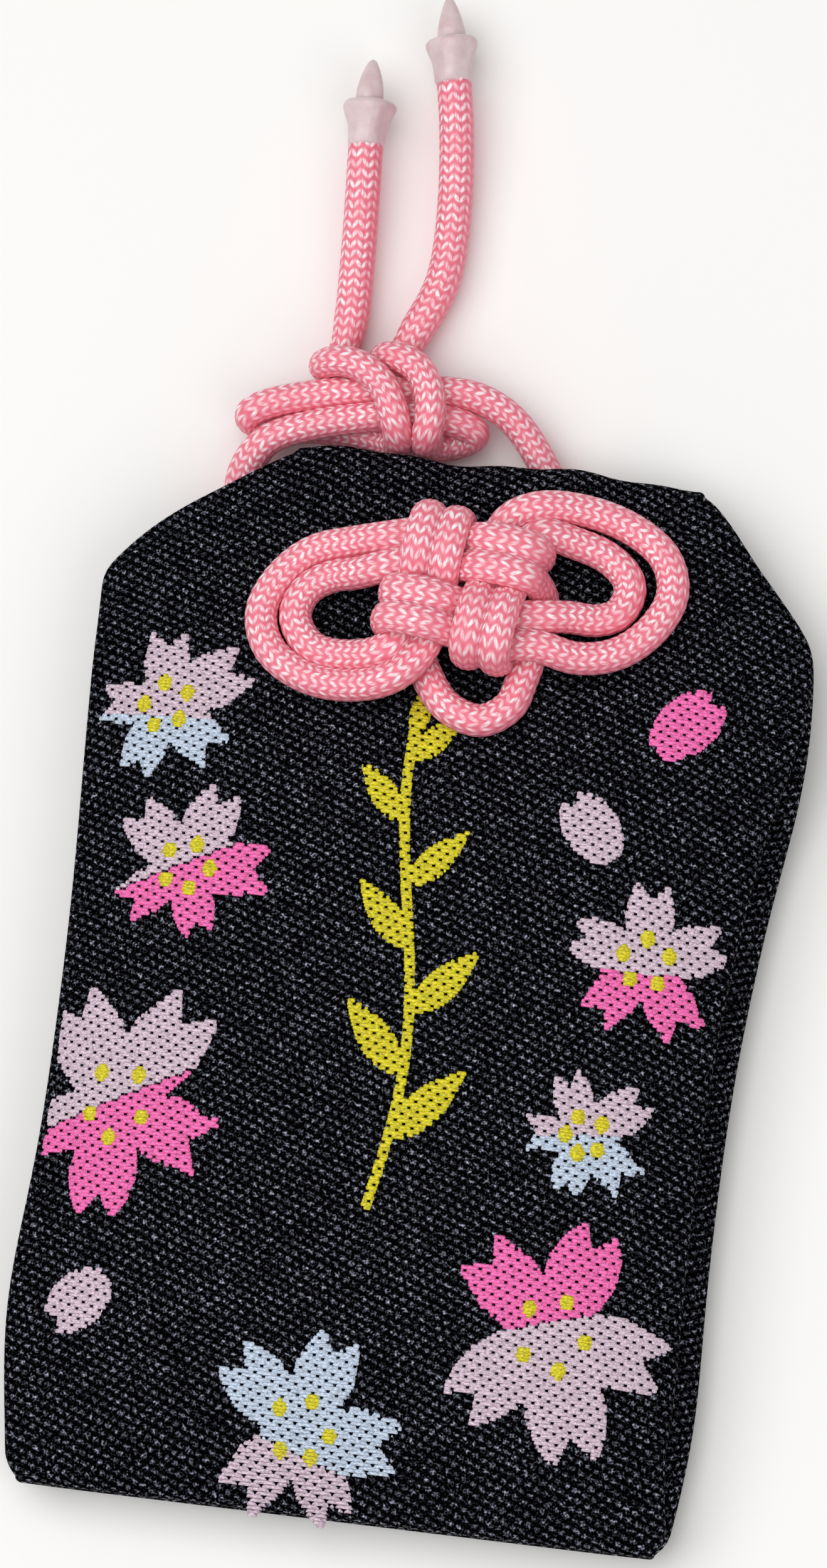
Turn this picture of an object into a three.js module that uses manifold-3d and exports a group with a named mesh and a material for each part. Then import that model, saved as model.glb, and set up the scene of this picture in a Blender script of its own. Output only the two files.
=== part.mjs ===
// Omamori charm: a brocade pouch with a folded paper talisman inside, tied through its mouth
// with one round braided cord. The pouch lies on its back: X runs across it, +Y towards its
// mouth and +Z out of its face. The origin is under the middle of the pouch. Millimetres.

import * as THREE from "three";
import { mergeVertices } from "three/addons/utils/BufferGeometryUtils.js";
import Module from "manifold-3d";

const wasm = await Module();
wasm.setup();

// Clearance kept between pieces that touch on the real charm.
const CLEARANCE = 0.3;

// Pouch outline, measured up from its bottom fold.
const POUCH_HEIGHT = 75;
const SHOULDER_WIDTH = 51.2;
const BOTTOM_WIDTH = 46;
const SHOULDER_DROP = 10.5;
const LEFT_SHOULDER_RUN = 13.2;
const RIGHT_SHOULDER_RUN = 9.5;

// Pouch thickness and the way it swells between its seams.
const POUCH_DEPTH = 9;
const MOUTH_DEPTH = 3.6;
const FABRIC = 0.5;
const BACK_SEAM_HEIGHT = 2.4;
const FRONT_RIM_HEIGHT = 5.4;
const BACK_RIM_HEIGHT = 1.9;
const BOTTOM_SWELL = 14;
const BACK_SWELL = 6;
const MOUTH_SWELL = 4;
const TAPER_LENGTH = 30;
const BACK_FLAT_SHARE = 0.7;
const LIFT_START = 48;
const LIFT_END = 58;

// Side gussets: the seam allowance folded into the groove between the panels.
const GUSSET_SETBACK = 0.9;
const GUSSET_FOLD_DEPTH = 2.2;
const GUSSET_LEAF = 0.7;
const GUSSET_BOTTOM = 5;
const GUSSET_TOP = 57;

// Lining and the pieces that the pouch holds.
const LINING = 0.3;
const LINING_WIDTH_SHARE = 0.78;
const LINING_BOTTOM = 6;
const LINING_TOP_SETBACK = 4;
const CARD_WIDTH = 34;
const CARD_BOTTOM = 9;
const CARD_LENGTH = 54;
const CARD_THICKNESS = 0.7;
const TABLET_WIDTH = 26;
const TABLET_LENGTH = 34;
const TABLET_THICKNESS = 1.05;
const TABLET_BOTTOM = 10;
const SLIP_THICKNESS = 0.25;
const WRAPPER_WALL = 0.25;
const WRAPPER_END = 1;

// Cord: its free diameter and the diameter where a knot pulls it tight.
const CORD_DIAMETER = 2.2;
const KNOT_CORD_DIAMETER = 1.4;
const LOOP_CORD_DIAMETER = 1.8;
const TOP_KNOT_CORD_DIAMETER = 1.6;
const CORD_SIDES = 8;
const CORD_STEP = 0.95;

// Front knot: places are measured from its middle, heights from the face of the pouch.
const KNOT_X = 1.0;
const KNOT_BELOW_MOUTH = 10.0;
const KNOT_TURN = THREE.MathUtils.degToRad(-5.4);
const STRAND_INNER = 1.4;
const STRAND_OUTER = 3.4;
const LEVEL_BACK = 1.2;
const LEVEL_MIDDLE = 3.1;
const LEVEL_FRONT = 5.3;
const KNOT_BODY_RADIUS = 6.5;
const KNOT_LOOP_RADIUS = 9;

// Sealed cord ends.
const SLEEVE_LENGTH = 3.2;
const SLEEVE_WALL = 0.25;
const SLEEVE_FLARE = 0.3;
const TIP_LENGTH = 3.1;
const TIP_RADIUS = 1.05;
const TIP_POINT_RADIUS = 0.3;

// Values that follow from the sizes above.
const MOUTH_Y = POUCH_HEIGHT / 2;
const SHOULDER = POUCH_HEIGHT - SHOULDER_DROP;
const TOP_LIFT = CORD_DIAMETER + 3 * CLEARANCE;
const CORD_REST = CORD_DIAMETER / 2 + CLEARANCE;
const SEAM_STACK = 2 * FABRIC + CLEARANCE;
const FACE_SEAM_HEIGHT = BACK_SEAM_HEIGHT + SEAM_STACK;
const MOUTH_FACE_HEIGHT = TOP_LIFT + MOUTH_DEPTH;

const { clamp, lerp, smoothstep } = THREE.MathUtils;

// Left and right edge of the pouch at a height above the bottom fold.
function edges(up) {
  if (up <= SHOULDER) {
    const half = lerp(BOTTOM_WIDTH, SHOULDER_WIDTH, up / SHOULDER) / 2;
    return [-half, half];
  }
  const share = (up - SHOULDER) / SHOULDER_DROP;
  const half = SHOULDER_WIDTH / 2;
  return [-half + LEFT_SHOULDER_RUN * share, half - RIGHT_SHOULDER_RUN * share];
}

// Share of the full swell at a distance from a seam.
function swell(distance, run, power) {
  return 1 - (1 - clamp(distance / run, 0, 1)) ** power;
}

// Height of the underside of the back panel at its middle and at its rim.
function backFloor(up) {
  const lift = TOP_LIFT * smoothstep(up, LIFT_START, LIFT_END);
  return BACK_SEAM_HEIGHT * (1 - swell(up, BACK_SWELL, 2)) + lift;
}

function backRim(up) {
  const low = lerp(BACK_SEAM_HEIGHT, BACK_RIM_HEIGHT, swell(up, BACK_SWELL, 2));
  return lerp(low, TOP_LIFT + CLEARANCE, smoothstep(up, LIFT_START, LIFT_END));
}

function backHeight(across, up) {
  const edge = clamp((Math.abs(across) - BACK_FLAT_SHARE) / (1 - BACK_FLAT_SHARE), 0, 1);
  return lerp(backFloor(up), backRim(up), edge * edge);
}

// Height of the face of the pouch at its middle and at its rim.
function faceCrest(up) {
  const rise = swell(up, BOTTOM_SWELL, 2.5);
  const taper = smoothstep(up, POUCH_HEIGHT - TAPER_LENGTH, POUCH_HEIGHT);
  const open = lerp(POUCH_DEPTH, MOUTH_FACE_HEIGHT, taper);
  const full = lerp(FACE_SEAM_HEIGHT, open, rise);
  return lerp(TOP_LIFT + SEAM_STACK, full, swell(POUCH_HEIGHT - up, MOUTH_SWELL, 2));
}

function faceRim(up) {
  const side = lerp(FACE_SEAM_HEIGHT, FRONT_RIM_HEIGHT, swell(up, BOTTOM_SWELL, 2.5));
  const closed = backRim(up) + SEAM_STACK;
  return lerp(side, closed, smoothstep(up, GUSSET_TOP, SHOULDER));
}

function faceHeight(across, up) {
  const crown = 1 - across ** 4;
  const closing = swell(POUCH_HEIGHT - up, MOUTH_SWELL, 2);
  const rim = lerp(backHeight(across, up) + SEAM_STACK, faceRim(up), closing);
  return lerp(rim, faceCrest(up), crown);
}

// A closed sheet between two surfaces that are given on the same grid of columns and rows.
function sheet(columns, rows, upper, lower) {
  const positions = [];
  for (const surface of [upper, lower])
    for (const row of rows)
      for (const column of columns) positions.push(...surface(column, row));
  const wide = columns.length;
  const layer = wide * rows.length;
  const index = [];
  const quad = (a, b, c, d) => index.push(a, b, c, a, c, d);
  for (let r = 0; r + 1 < rows.length; r++) {
    for (let c = 0; c + 1 < wide; c++) {
      const a = r * wide + c;
      quad(a, a + 1, a + wide + 1, a + wide);
      quad(layer + a + wide, layer + a + wide + 1, layer + a + 1, layer + a);
    }
    const left = r * wide;
    const right = left + wide - 1;
    quad(left, left + wide, layer + left + wide, layer + left);
    quad(right + wide, right, layer + right, layer + right + wide);
  }
  for (let c = 0; c + 1 < wide; c++) {
    const last = layer - wide + c;
    quad(c + 1, c, layer + c, layer + c + 1);
    quad(last, last + 1, layer + last + 1, layer + last);
  }
  return closedGeometry(positions, index);
}

function closedGeometry(positions, index) {
  const geometry = new THREE.BufferGeometry();
  geometry.setAttribute("position", new THREE.Float32BufferAttribute(positions, 3));
  geometry.setIndex(index);
  geometry.computeVertexNormals();
  return geometry;
}

// Evenly spaced values, drawn towards both ends so that the rims get more rows.
function spread(from, to, count) {
  const share = (i) => (1 - Math.cos((Math.PI * i) / count)) / 2;
  return Array.from({ length: count + 1 }, (_, i) => lerp(from, to, share(i)));
}

const place = (across, up) => {
  const [left, right] = edges(up);
  return [lerp(left, right, (across + 1) / 2), up - POUCH_HEIGHT / 2];
};

const PANEL_COLUMNS = spread(-1, 1, 14);
const PANEL_ROWS = [...spread(0, SHOULDER, 18), ...spread(SHOULDER, POUCH_HEIGHT, 6).slice(1)];
const LINING_TOP = POUCH_HEIGHT - LINING_TOP_SETBACK;
const LINING_COLUMNS = PANEL_COLUMNS.filter((across) => Math.abs(across) <= LINING_WIDTH_SHARE);
const LINING_ROWS = PANEL_ROWS.filter((up) => up >= LINING_BOTTOM && up <= LINING_TOP);

// A panel or lining that lies inside the face or the back by a depth.
function faceLayer(columns, rows, depth, thickness) {
  const at = (inside) => (u, v) => [...place(u, v), faceHeight(u, v) - inside];
  return sheet(columns, rows, at(depth), at(depth + thickness));
}

function backLayer(columns, rows, depth, thickness) {
  const at = (inside) => (u, v) => [...place(u, v), backHeight(u, v) + inside];
  return sheet(columns, rows, at(depth + thickness), at(depth));
}

// The folded strip in the groove of one side, open towards the outside like a V.
function gusset(side) {
  const section = [0, 1, 2];
  const rows = spread(GUSSET_BOTTOM, GUSSET_TOP, 10);
  const at = (inset) => (column, up) => {
    const low = backRim(up) + FABRIC + CLEARANCE;
    const high = faceRim(up) - FABRIC - CLEARANCE;
    const setback = GUSSET_SETBACK + (column === 1 ? GUSSET_FOLD_DEPTH : 0) + inset;
    const [left, right] = edges(up);
    const x = side < 0 ? left + setback : right - setback;
    return [x, up - POUCH_HEIGHT / 2, lerp(low, high, column / 2)];
  };
  const [outer, inner] = [at(0), at(GUSSET_LEAF)];
  return side < 0 ? sheet(section, rows, outer, inner) : sheet(section, rows, inner, outer);
}

// Solids for the cuts.
function solidOf(geometry) {
  const bare = geometry.clone();
  bare.deleteAttribute("normal");
  bare.deleteAttribute("uv");
  const merged = mergeVertices(bare, 1e-4);
  return new wasm.Manifold(
    new wasm.Mesh({
      numProp: 3,
      vertProperties: merged.getAttribute("position").array,
      triVerts: new Uint32Array(merged.index.array),
    }),
  );
}

function geometryOf(solid) {
  const mesh = solid.getMesh();
  return closedGeometry(Array.from(mesh.vertProperties), Array.from(mesh.triVerts));
}

// A round hole along Z through a layer of cloth at a point of the plan.
function punch(geometry, points) {
  const radius = CORD_DIAMETER / 2 + CLEARANCE;
  const drills = points.map(([x, y]) =>
    new THREE.CylinderGeometry(radius, radius, 4 * POUCH_DEPTH, 12).rotateX(Math.PI / 2).translate(x, y, 0),
  );
  return geometryOf(drills.reduce((solid, drill) => solid.subtract(solidOf(drill)), solidOf(geometry)));
}

// A cord along a smooth route, with round ends. The radius may change along the route.
function cord(points, radiusAt) {
  const curve = new THREE.CatmullRomCurve3(points, false, "centripetal");
  curve.arcLengthDivisions = points.length * 40;
  const steps = Math.round(curve.getLength() / CORD_STEP);
  const frames = curve.computeFrenetFrames(steps, false);
  const rings = [];
  const ring = (centre, i, radius) => rings.push({ centre, i, radius });
  const ends = [Math.PI / 3, Math.PI / 6];
  const centres = curve.getSpacedPoints(steps);
  const cap = (i, sign, angle) => {
    const radius = radiusAt(centres[i]);
    const out = frames.tangents[i].clone().multiplyScalar(sign * radius * Math.sin(angle));
    ring(centres[i].clone().add(out), i, radius * Math.cos(angle));
  };
  ends.forEach((angle) => cap(0, -1, angle));
  centres.forEach((centre, i) => ring(centre, i, radiusAt(centre)));
  [...ends].reverse().forEach((angle) => cap(steps, 1, angle));

  const positions = [];
  for (const { centre, i, radius } of rings)
    for (let side = 0; side < CORD_SIDES; side++) {
      const turn = (2 * Math.PI * side) / CORD_SIDES;
      const spoke = frames.normals[i].clone().multiplyScalar(radius * Math.cos(turn));
      spoke.addScaledVector(frames.binormals[i], radius * Math.sin(turn)).add(centre);
      positions.push(spoke.x, spoke.y, spoke.z);
    }
  const poles = [
    centres[0].clone().addScaledVector(frames.tangents[0], -radiusAt(centres[0])),
    centres[steps].clone().addScaledVector(frames.tangents[steps], radiusAt(centres[steps])),
  ];
  poles.forEach((pole) => positions.push(pole.x, pole.y, pole.z));
  const first = rings.length * CORD_SIDES;
  const index = [];
  for (let side = 0; side < CORD_SIDES; side++) {
    const next = (side + 1) % CORD_SIDES;
    for (let r = 0; r + 1 < rings.length; r++) {
      const a = r * CORD_SIDES;
      const b = a + CORD_SIDES;
      index.push(a + side, a + next, b + next, a + side, b + next, b + side);
    }
    const last = first - CORD_SIDES;
    index.push(first, next, side, first + 1, last + side, last + next);
  }
  return { geometry: closedGeometry(positions, index), centres, gap: leastGap(centres, radiusAt) };
}

// Least gap of a cord to itself, between stretches that are further apart along it than a bend.
function leastGap(centres, radiusAt) {
  const apart = Math.ceil((2.5 * CORD_DIAMETER) / CORD_STEP);
  let least = Infinity;
  for (let i = 0; i < centres.length; i++)
    for (let j = i + apart; j < centres.length; j++) {
      const gap = centres[i].distanceTo(centres[j]) - radiusAt(centres[i]) - radiusAt(centres[j]);
      least = Math.min(least, gap);
    }
  return least;
}

// Front knot. Four pairs of strands cross over and under round the middle; each pair is the one
// before it turned by a quarter. A limb is listed from its outer bend to where it leaves below.
const LIMB = [
  [3.4, LEVEL_BACK],
  [4.75, LEVEL_BACK + 0.75],
  [5.1, LEVEL_MIDDLE + 0.2],
  [4.6, LEVEL_FRONT - 0.55],
  [3.4, LEVEL_FRONT],
  [1.4, LEVEL_FRONT],
  [0, (LEVEL_FRONT + LEVEL_MIDDLE) / 2],
  [-1.4, LEVEL_MIDDLE],
  [-3.4, LEVEL_MIDDLE],
];
const [TOP, LEFT, BOTTOM, RIGHT] = [0, 1, 2, 3];

function limb(quarter, offset) {
  const turn = KNOT_TURN + (quarter * Math.PI) / 2;
  const middle = new THREE.Vector2(0, 0);
  return LIMB.map(([out, height]) => {
    const spot = new THREE.Vector2(-offset, out).rotateAround(middle, turn);
    return [spot.x, spot.y, height];
  });
}

const HOLE_A = [-3.1, 2.6];
const HOLE_B = [2.5, 3.1];
const innerLeftLoop = [
  [-4.6, -4.9, 3.1],
  [-6.9, -5.2, 2.0],
  [-9.5, -4.6, 1.4],
  [-11.2, -2.8, 1.3],
  [-10.7, -0.9, 1.3],
  [-9.2, 0.1, 1.4],
  [-7.7, 0.3, 2.0],
  [-5.8, 0.95, 3.0],
];
const outerLeftLoop = [
  [-2.4, -5.2, 3.2],
  [-3.9, -6.9, 3.0],
  [-6.6, -7.6, 2.0],
  [-10.0, -7.3, 1.4],
  [-12.9, -5.6, 1.3],
  [-14.0, -2.9, 1.3],
  [-13.1, -0.2, 1.3],
  [-11.0, 2.0, 1.3],
  [-8.1, 2.8, 1.9],
  [-5.6, 3.2, 2.9],
];
const outerRightLoop = [
  [5.6, -3.5, 2.9],
  [8.2, -3.9, 1.9],
  [11.0, -3.1, 1.3],
  [13.2, -1.0, 1.3],
  [14.2, 1.7, 1.3],
  [13.3, 4.3, 1.3],
  [10.6, 6.1, 1.4],
  [7.2, 6.8, 2.0],
  [4.2, 6.4, 3.0],
  [2.4, 5.2, 3.2],
];
const innerRightLoop = [
  [4.7, 4.5, 3.1],
  [7.0, 4.4, 2.0],
  [9.5, 3.7, 1.4],
  [11.2, 2.0, 1.3],
  [10.8, -0.1, 1.3],
  [9.3, -0.9, 1.4],
  [7.6, -1.0, 2.0],
  [5.7, -1.4, 3.0],
];
const smallLoop = [
  [5.5, 0.0, 1.5],
  [5.3, -1.8, 1.2],
  [5.1, -3.8, 1.2],
  [4.7, -5.9, 1.2],
  [4.2, -7.7, 1.2],
  [2.3, -9.0, 1.2],
  [-0.2, -8.2, 1.2],
  [-1.7, -6.4, 1.2],
  [-2.7, -4.6, 1.2],
];
const backTurn = [
  [1.3, -2.6, 1.2],
  [2.2, -2.0, 1.2],
  [3.1, -2.7, 1.2],
];
const backArc = [
  [-2.4, -0.9, 1.2],
  [-1.4, 0.2, 1.2],
  [-1.2, 1.8, 1.2],
];

const reversed = (points) => [...points].reverse();
const KNOT_ROUTE = [
  [...HOLE_A, LEVEL_BACK],
  ...limb(TOP, STRAND_OUTER),
  ...innerLeftLoop,
  ...reversed(limb(RIGHT, STRAND_INNER)).slice(0, -2),
  ...smallLoop,
  ...limb(LEFT, STRAND_OUTER),
  ...outerRightLoop,
  ...reversed(limb(BOTTOM, STRAND_INNER)),
  ...backTurn,
  ...limb(BOTTOM, STRAND_OUTER),
  ...innerRightLoop,
  ...reversed(limb(LEFT, STRAND_INNER)),
  ...backArc,
  ...limb(TOP, STRAND_INNER),
  ...outerLeftLoop,
  ...reversed(limb(RIGHT, STRAND_OUTER)),
  [...HOLE_B, LEVEL_BACK],
];

// Height of the face under a point of the plan.
function faceAt(x, y) {
  const up = clamp(y + POUCH_HEIGHT / 2, 0, POUCH_HEIGHT - MOUTH_SWELL);
  const [left, right] = edges(up);
  return faceHeight(clamp((2 * (x - left)) / (right - left) - 1, -1, 1), up);
}

const KNOT_Y = MOUTH_Y - KNOT_BELOW_MOUTH;
const knotPoint = ([x, y, height]) =>
  new THREE.Vector3(KNOT_X + x, KNOT_Y + y, faceAt(KNOT_X + x, KNOT_Y + y) + height);

function knotRadius(point) {
  const out = Math.hypot(point.x - KNOT_X, point.y - KNOT_Y);
  const loose = smoothstep(out, KNOT_BODY_RADIUS, KNOT_LOOP_RADIUS);
  return lerp(KNOT_CORD_DIAMETER, LOOP_CORD_DIAMETER, loose) / 2;
}

// The two strands of the hanging loop. Each leaves its hole at the back, runs out past the mouth
// and is hitched round the other; places along Y are measured from the mouth edge.
const LEFT_STRAND = [
  [-2.1, -7.4, 1.4],
  [-4.8, -9.0, 1.4],
  [-9.0, -9.9, 1.4],
  [-12.6, -8.3, 1.4],
  [-15.7, -5.6, 1.4],
  [-16.8, -2.8, 1.5],
  [-16.5, -0.7, 2.1],
  [-15.2, 0.9, 3.0],
  [-12.5, 2.0, 3.3],
  [-9.2, 2.9, 3.3],
  [-6.0, 3.2, 3.3],
  [-3.6, 3.2, 3.3],
  [-2.0, 3.1, 3.1],
  [-0.8, 2.7, 2.3],
  [-1.6, 2.2, 1.5],
  [-2.9, 1.8, 1.3],
  [-3.8, 1.4, 2.0],
  [-4.0, 1.35, 3.4],
  [-3.8, 1.8, 4.8],
  [-3.7, 3.2, 5.3],
  [-4.1, 4.8, 5.3],
  [-5.0, 6.2, 5.1],
  [-6.5, 7.0, 4.6],
  [-7.7, 7.2, 3.4],
  [-7.9, 7.2, 2.1],
  [-7.1, 7.7, 1.4],
];
const RIGHT_STRAND = [
  [3.5, -6.9, 1.4],
  [5.2, -8.4, 1.4],
  [7.6, -8.1, 1.4],
  [8.7, -5.4, 1.4],
  [7.4, -2.6, 1.4],
  [5.2, -0.4, 1.4],
  [3.6, 1.9, 1.7],
  [1.6, 4.0, 2.5],
  [-1.0, 5.1, 3.2],
  [-4.4, 5.15, 3.3],
  [-8.0, 4.9, 3.3],
  [-12.2, 4.0, 3.3],
  [-15.0, 3.2, 3.3],
  [-16.6, 2.5, 2.8],
  [-16.8, 2.1, 1.9],
  [-15.4, 1.9, 1.3],
  [-12.0, 2.1, 1.3],
  [-9.2, 2.0, 1.3],
  [-7.2, 1.6, 1.5],
  [-6.2, 1.35, 2.3],
  [-5.9, 1.35, 3.5],
  [-6.0, 1.9, 4.8],
  [-6.5, 3.3, 5.3],
  [-7.5, 4.9, 5.3],
  [-9.2, 6.0, 5.2],
  [-10.8, 6.3, 4.6],
  [-11.9, 6.3, 3.4],
  [-12.0, 6.4, 2.1],
  [-11.3, 7.0, 1.4],
];
const strandPoint = ([x, pastMouth, height]) => new THREE.Vector3(x, MOUTH_Y + pastMouth, height);
const TOP_KNOT_START = 1;
const TOP_KNOT_BLEND = 3;

function strandRadius(point) {
  const past = point.y - MOUTH_Y;
  const tight = smoothstep(past, TOP_KNOT_START - TOP_KNOT_BLEND, TOP_KNOT_START);
  return lerp(CORD_DIAMETER, TOP_KNOT_CORD_DIAMETER, tight) / 2;
}

// Free tails: each starts where its strand comes out of the knot and lies along the table.
const LEFT_TAIL = [
  [-10.8, 9.3, 1.5],
  [-10.9, 14.0, 1.5],
  [-11.2, 20.0, 2.2],
  [-11.35, 22.0, 2.3],
  [-11.5, 24.7, 2.3],
];
const RIGHT_TAIL = [
  [-6.1, 9.8, 1.5],
  [-4.7, 13.6, 1.4],
  [-4.6, 19.2, 1.5],
  [-5.2, 25.0, 2.2],
  [-5.6, 27.1, 2.3],
  [-6.15, 29.9, 2.3],
];

// A sealed end: a flared sleeve round the last of the cord, and the fused tip beyond it.
function endPieces(tail) {
  const end = tail[tail.length - 1];
  const along = end.clone().sub(tail[tail.length - 2]).setZ(0).normalize();
  const bore = CORD_DIAMETER / 2 + CLEARANCE;
  const mouth = bore + SLEEVE_WALL;
  const sleeve = new THREE.LatheGeometry(
    [
      new THREE.Vector2(bore, 0),
      new THREE.Vector2(mouth, 0),
      new THREE.Vector2(mouth + SLEEVE_FLARE, SLEEVE_LENGTH),
      new THREE.Vector2(bore, SLEEVE_LENGTH),
      new THREE.Vector2(bore, 0),
    ],
    16,
  );
  const tip = new THREE.LatheGeometry(
    [
      new THREE.Vector2(0, 0),
      new THREE.Vector2(TIP_RADIUS, 0),
      new THREE.Vector2(TIP_RADIUS, TIP_LENGTH / 3),
      new THREE.Vector2(TIP_POINT_RADIUS, TIP_LENGTH),
      new THREE.Vector2(0, TIP_LENGTH),
    ],
    16,
  );
  const turn = new THREE.Quaternion().setFromUnitVectors(new THREE.Vector3(0, 1, 0), along);
  const cordEnd = end.clone().addScaledVector(along, CORD_DIAMETER / 2);
  const sleeveStart = cordEnd.clone().addScaledVector(along, -SLEEVE_LENGTH);
  const tipStart = cordEnd.clone().addScaledVector(along, CLEARANCE);
  return { sleeve, tip, turn, sleeveStart, tipStart };
}

// A flat plate by its middle across, its bottom end, its underside and its size.
function plate(width, length, thickness, bottom, height) {
  const box = new THREE.BoxGeometry(width, length, thickness);
  return box.translate(0, bottom + length / 2 - POUCH_HEIGHT / 2, height + thickness / 2);
}

// Paper sleeve round the tablet and the slip, open at both ends.
const wrapperHeight = 2 * WRAPPER_WALL + TABLET_THICKNESS + SLIP_THICKNESS + 3 * CLEARANCE;
const wrapperBase = FABRIC + LINING + 2 * CLEARANCE;
const tabletBase = wrapperBase + WRAPPER_WALL + CLEARANCE;
const slipBase = tabletBase + TABLET_THICKNESS + CLEARANCE;
const cardBase = wrapperBase + wrapperHeight + CLEARANCE;

function wrapper() {
  const width = TABLET_WIDTH + 2 * (WRAPPER_WALL + CLEARANCE);
  const start = TABLET_BOTTOM - WRAPPER_END;
  const length = TABLET_LENGTH + 2 * WRAPPER_END;
  const outside = plate(width, length, wrapperHeight, start, wrapperBase);
  const hollow = wrapperHeight - 2 * WRAPPER_WALL;
  const inside = plate(width - 2 * WRAPPER_WALL, length + 2, hollow, start - 1, wrapperBase + WRAPPER_WALL);
  return geometryOf(solidOf(outside).subtract(solidOf(inside)));
}

const finish = (color, roughness) => new THREE.MeshStandardMaterial({ color, roughness, metalness: 0 });
const brocade = () => finish("#14151a", 0.75);
const lining = () => finish("#2a2422", 0.85);
const braid = () => finish("#f38a9c", 0.55);
const paper = () => finish("#f1ece0", 0.9);
const sealed = () => finish("#f6d9dc", 0.35);

const charm = new THREE.Group();

function add(name, geometry, material) {
  const mesh = new THREE.Mesh(geometry, material);
  mesh.name = name;
  charm.add(mesh);
  return mesh;
}

const holes = [HOLE_A, HOLE_B].map(([x, y]) => [KNOT_X + x, KNOT_Y + y]);
const liningDepth = FABRIC + CLEARANCE;
add("front_panel", punch(faceLayer(PANEL_COLUMNS, PANEL_ROWS, 0, FABRIC), holes), brocade());
add("back_panel", punch(backLayer(PANEL_COLUMNS, PANEL_ROWS, 0, FABRIC), holes), brocade());
add("front_lining", punch(faceLayer(LINING_COLUMNS, LINING_ROWS, liningDepth, LINING), holes), lining());
add("back_lining", punch(backLayer(LINING_COLUMNS, LINING_ROWS, liningDepth, LINING), holes), lining());
add("left_gusset", gusset(-1), brocade());
add("right_gusset", gusset(1), brocade());
add(
  "stiffener_card",
  plate(CARD_WIDTH, CARD_LENGTH, CARD_THICKNESS, CARD_BOTTOM, cardBase),
  finish("#c9b08a", 0.9),
);
add(
  "prayer_tablet",
  plate(TABLET_WIDTH, TABLET_LENGTH, TABLET_THICKNESS, TABLET_BOTTOM, tabletBase),
  finish("#d9b98c", 0.7),
);
add("prayer_slip", plate(TABLET_WIDTH, TABLET_LENGTH, SLIP_THICKNESS, TABLET_BOTTOM, slipBase), paper());
add("tablet_wrapper", wrapper(), paper());

// Short lengths of cord where it passes through the pouch, from the back to the face.
["left_through_cord", "right_through_cord"].forEach((name, i) => {
  const [x, y] = holes[i];
  const low = CORD_REST + CORD_DIAMETER / 2 + CLEARANCE;
  const length = faceAt(x, y) - low;
  const stub = new THREE.CylinderGeometry(CORD_DIAMETER / 2, CORD_DIAMETER / 2, length, CORD_SIDES);
  add(name, stub.rotateX(Math.PI / 2).translate(x, y, low + length / 2), braid());
});

const knot = cord(KNOT_ROUTE.map(knotPoint), knotRadius);
add("front_knot", knot.geometry, braid());
console.log("front_knot least gap to itself", knot.gap.toFixed(2), "mm");

const strands = { left_strand: LEFT_STRAND, right_strand: RIGHT_STRAND };
for (const [name, points] of Object.entries(strands)) {
  const strand = cord(points.map(strandPoint), strandRadius);
  add(name, strand.geometry, braid());
  console.log(name, "least gap to itself", strand.gap.toFixed(2), "mm");
}

const tails = { left: LEFT_TAIL, right: RIGHT_TAIL };
for (const [side, points] of Object.entries(tails)) {
  const route = points.map(strandPoint);
  add(`${side}_tail_cord`, cord(route, () => CORD_DIAMETER / 2).geometry, braid());
  const { sleeve, tip, turn, sleeveStart, tipStart } = endPieces(route);
  const sleeveMesh = add(`${side}_end_sleeve`, sleeve, sealed());
  sleeveMesh.quaternion.copy(turn);
  sleeveMesh.position.copy(sleeveStart);
  const tipMesh = add(`${side}_end_tip`, tip, sealed());
  tipMesh.quaternion.copy(turn);
  tipMesh.position.copy(tipStart);
}

export default charm;
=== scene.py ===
# %% [markdown]
# # A brocade charm pouch on its back
# The charm is a small stiffened pouch of woven brocade. One round braided cord is tied flat on
# its face, passes through the cloth and is hitched again above the mouth. The solids of the
# frame give every place and size, and this file gives each piece the cloth, yarn or cord that
# it is made of.
#
# A scene could be modelled by hand and saved. A script was chosen, because every size in it can
# be read and changed, and because it gives the same charm each time that it runs.

import math

import bpy
import numpy as np
from mathutils import Matrix, Vector


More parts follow.
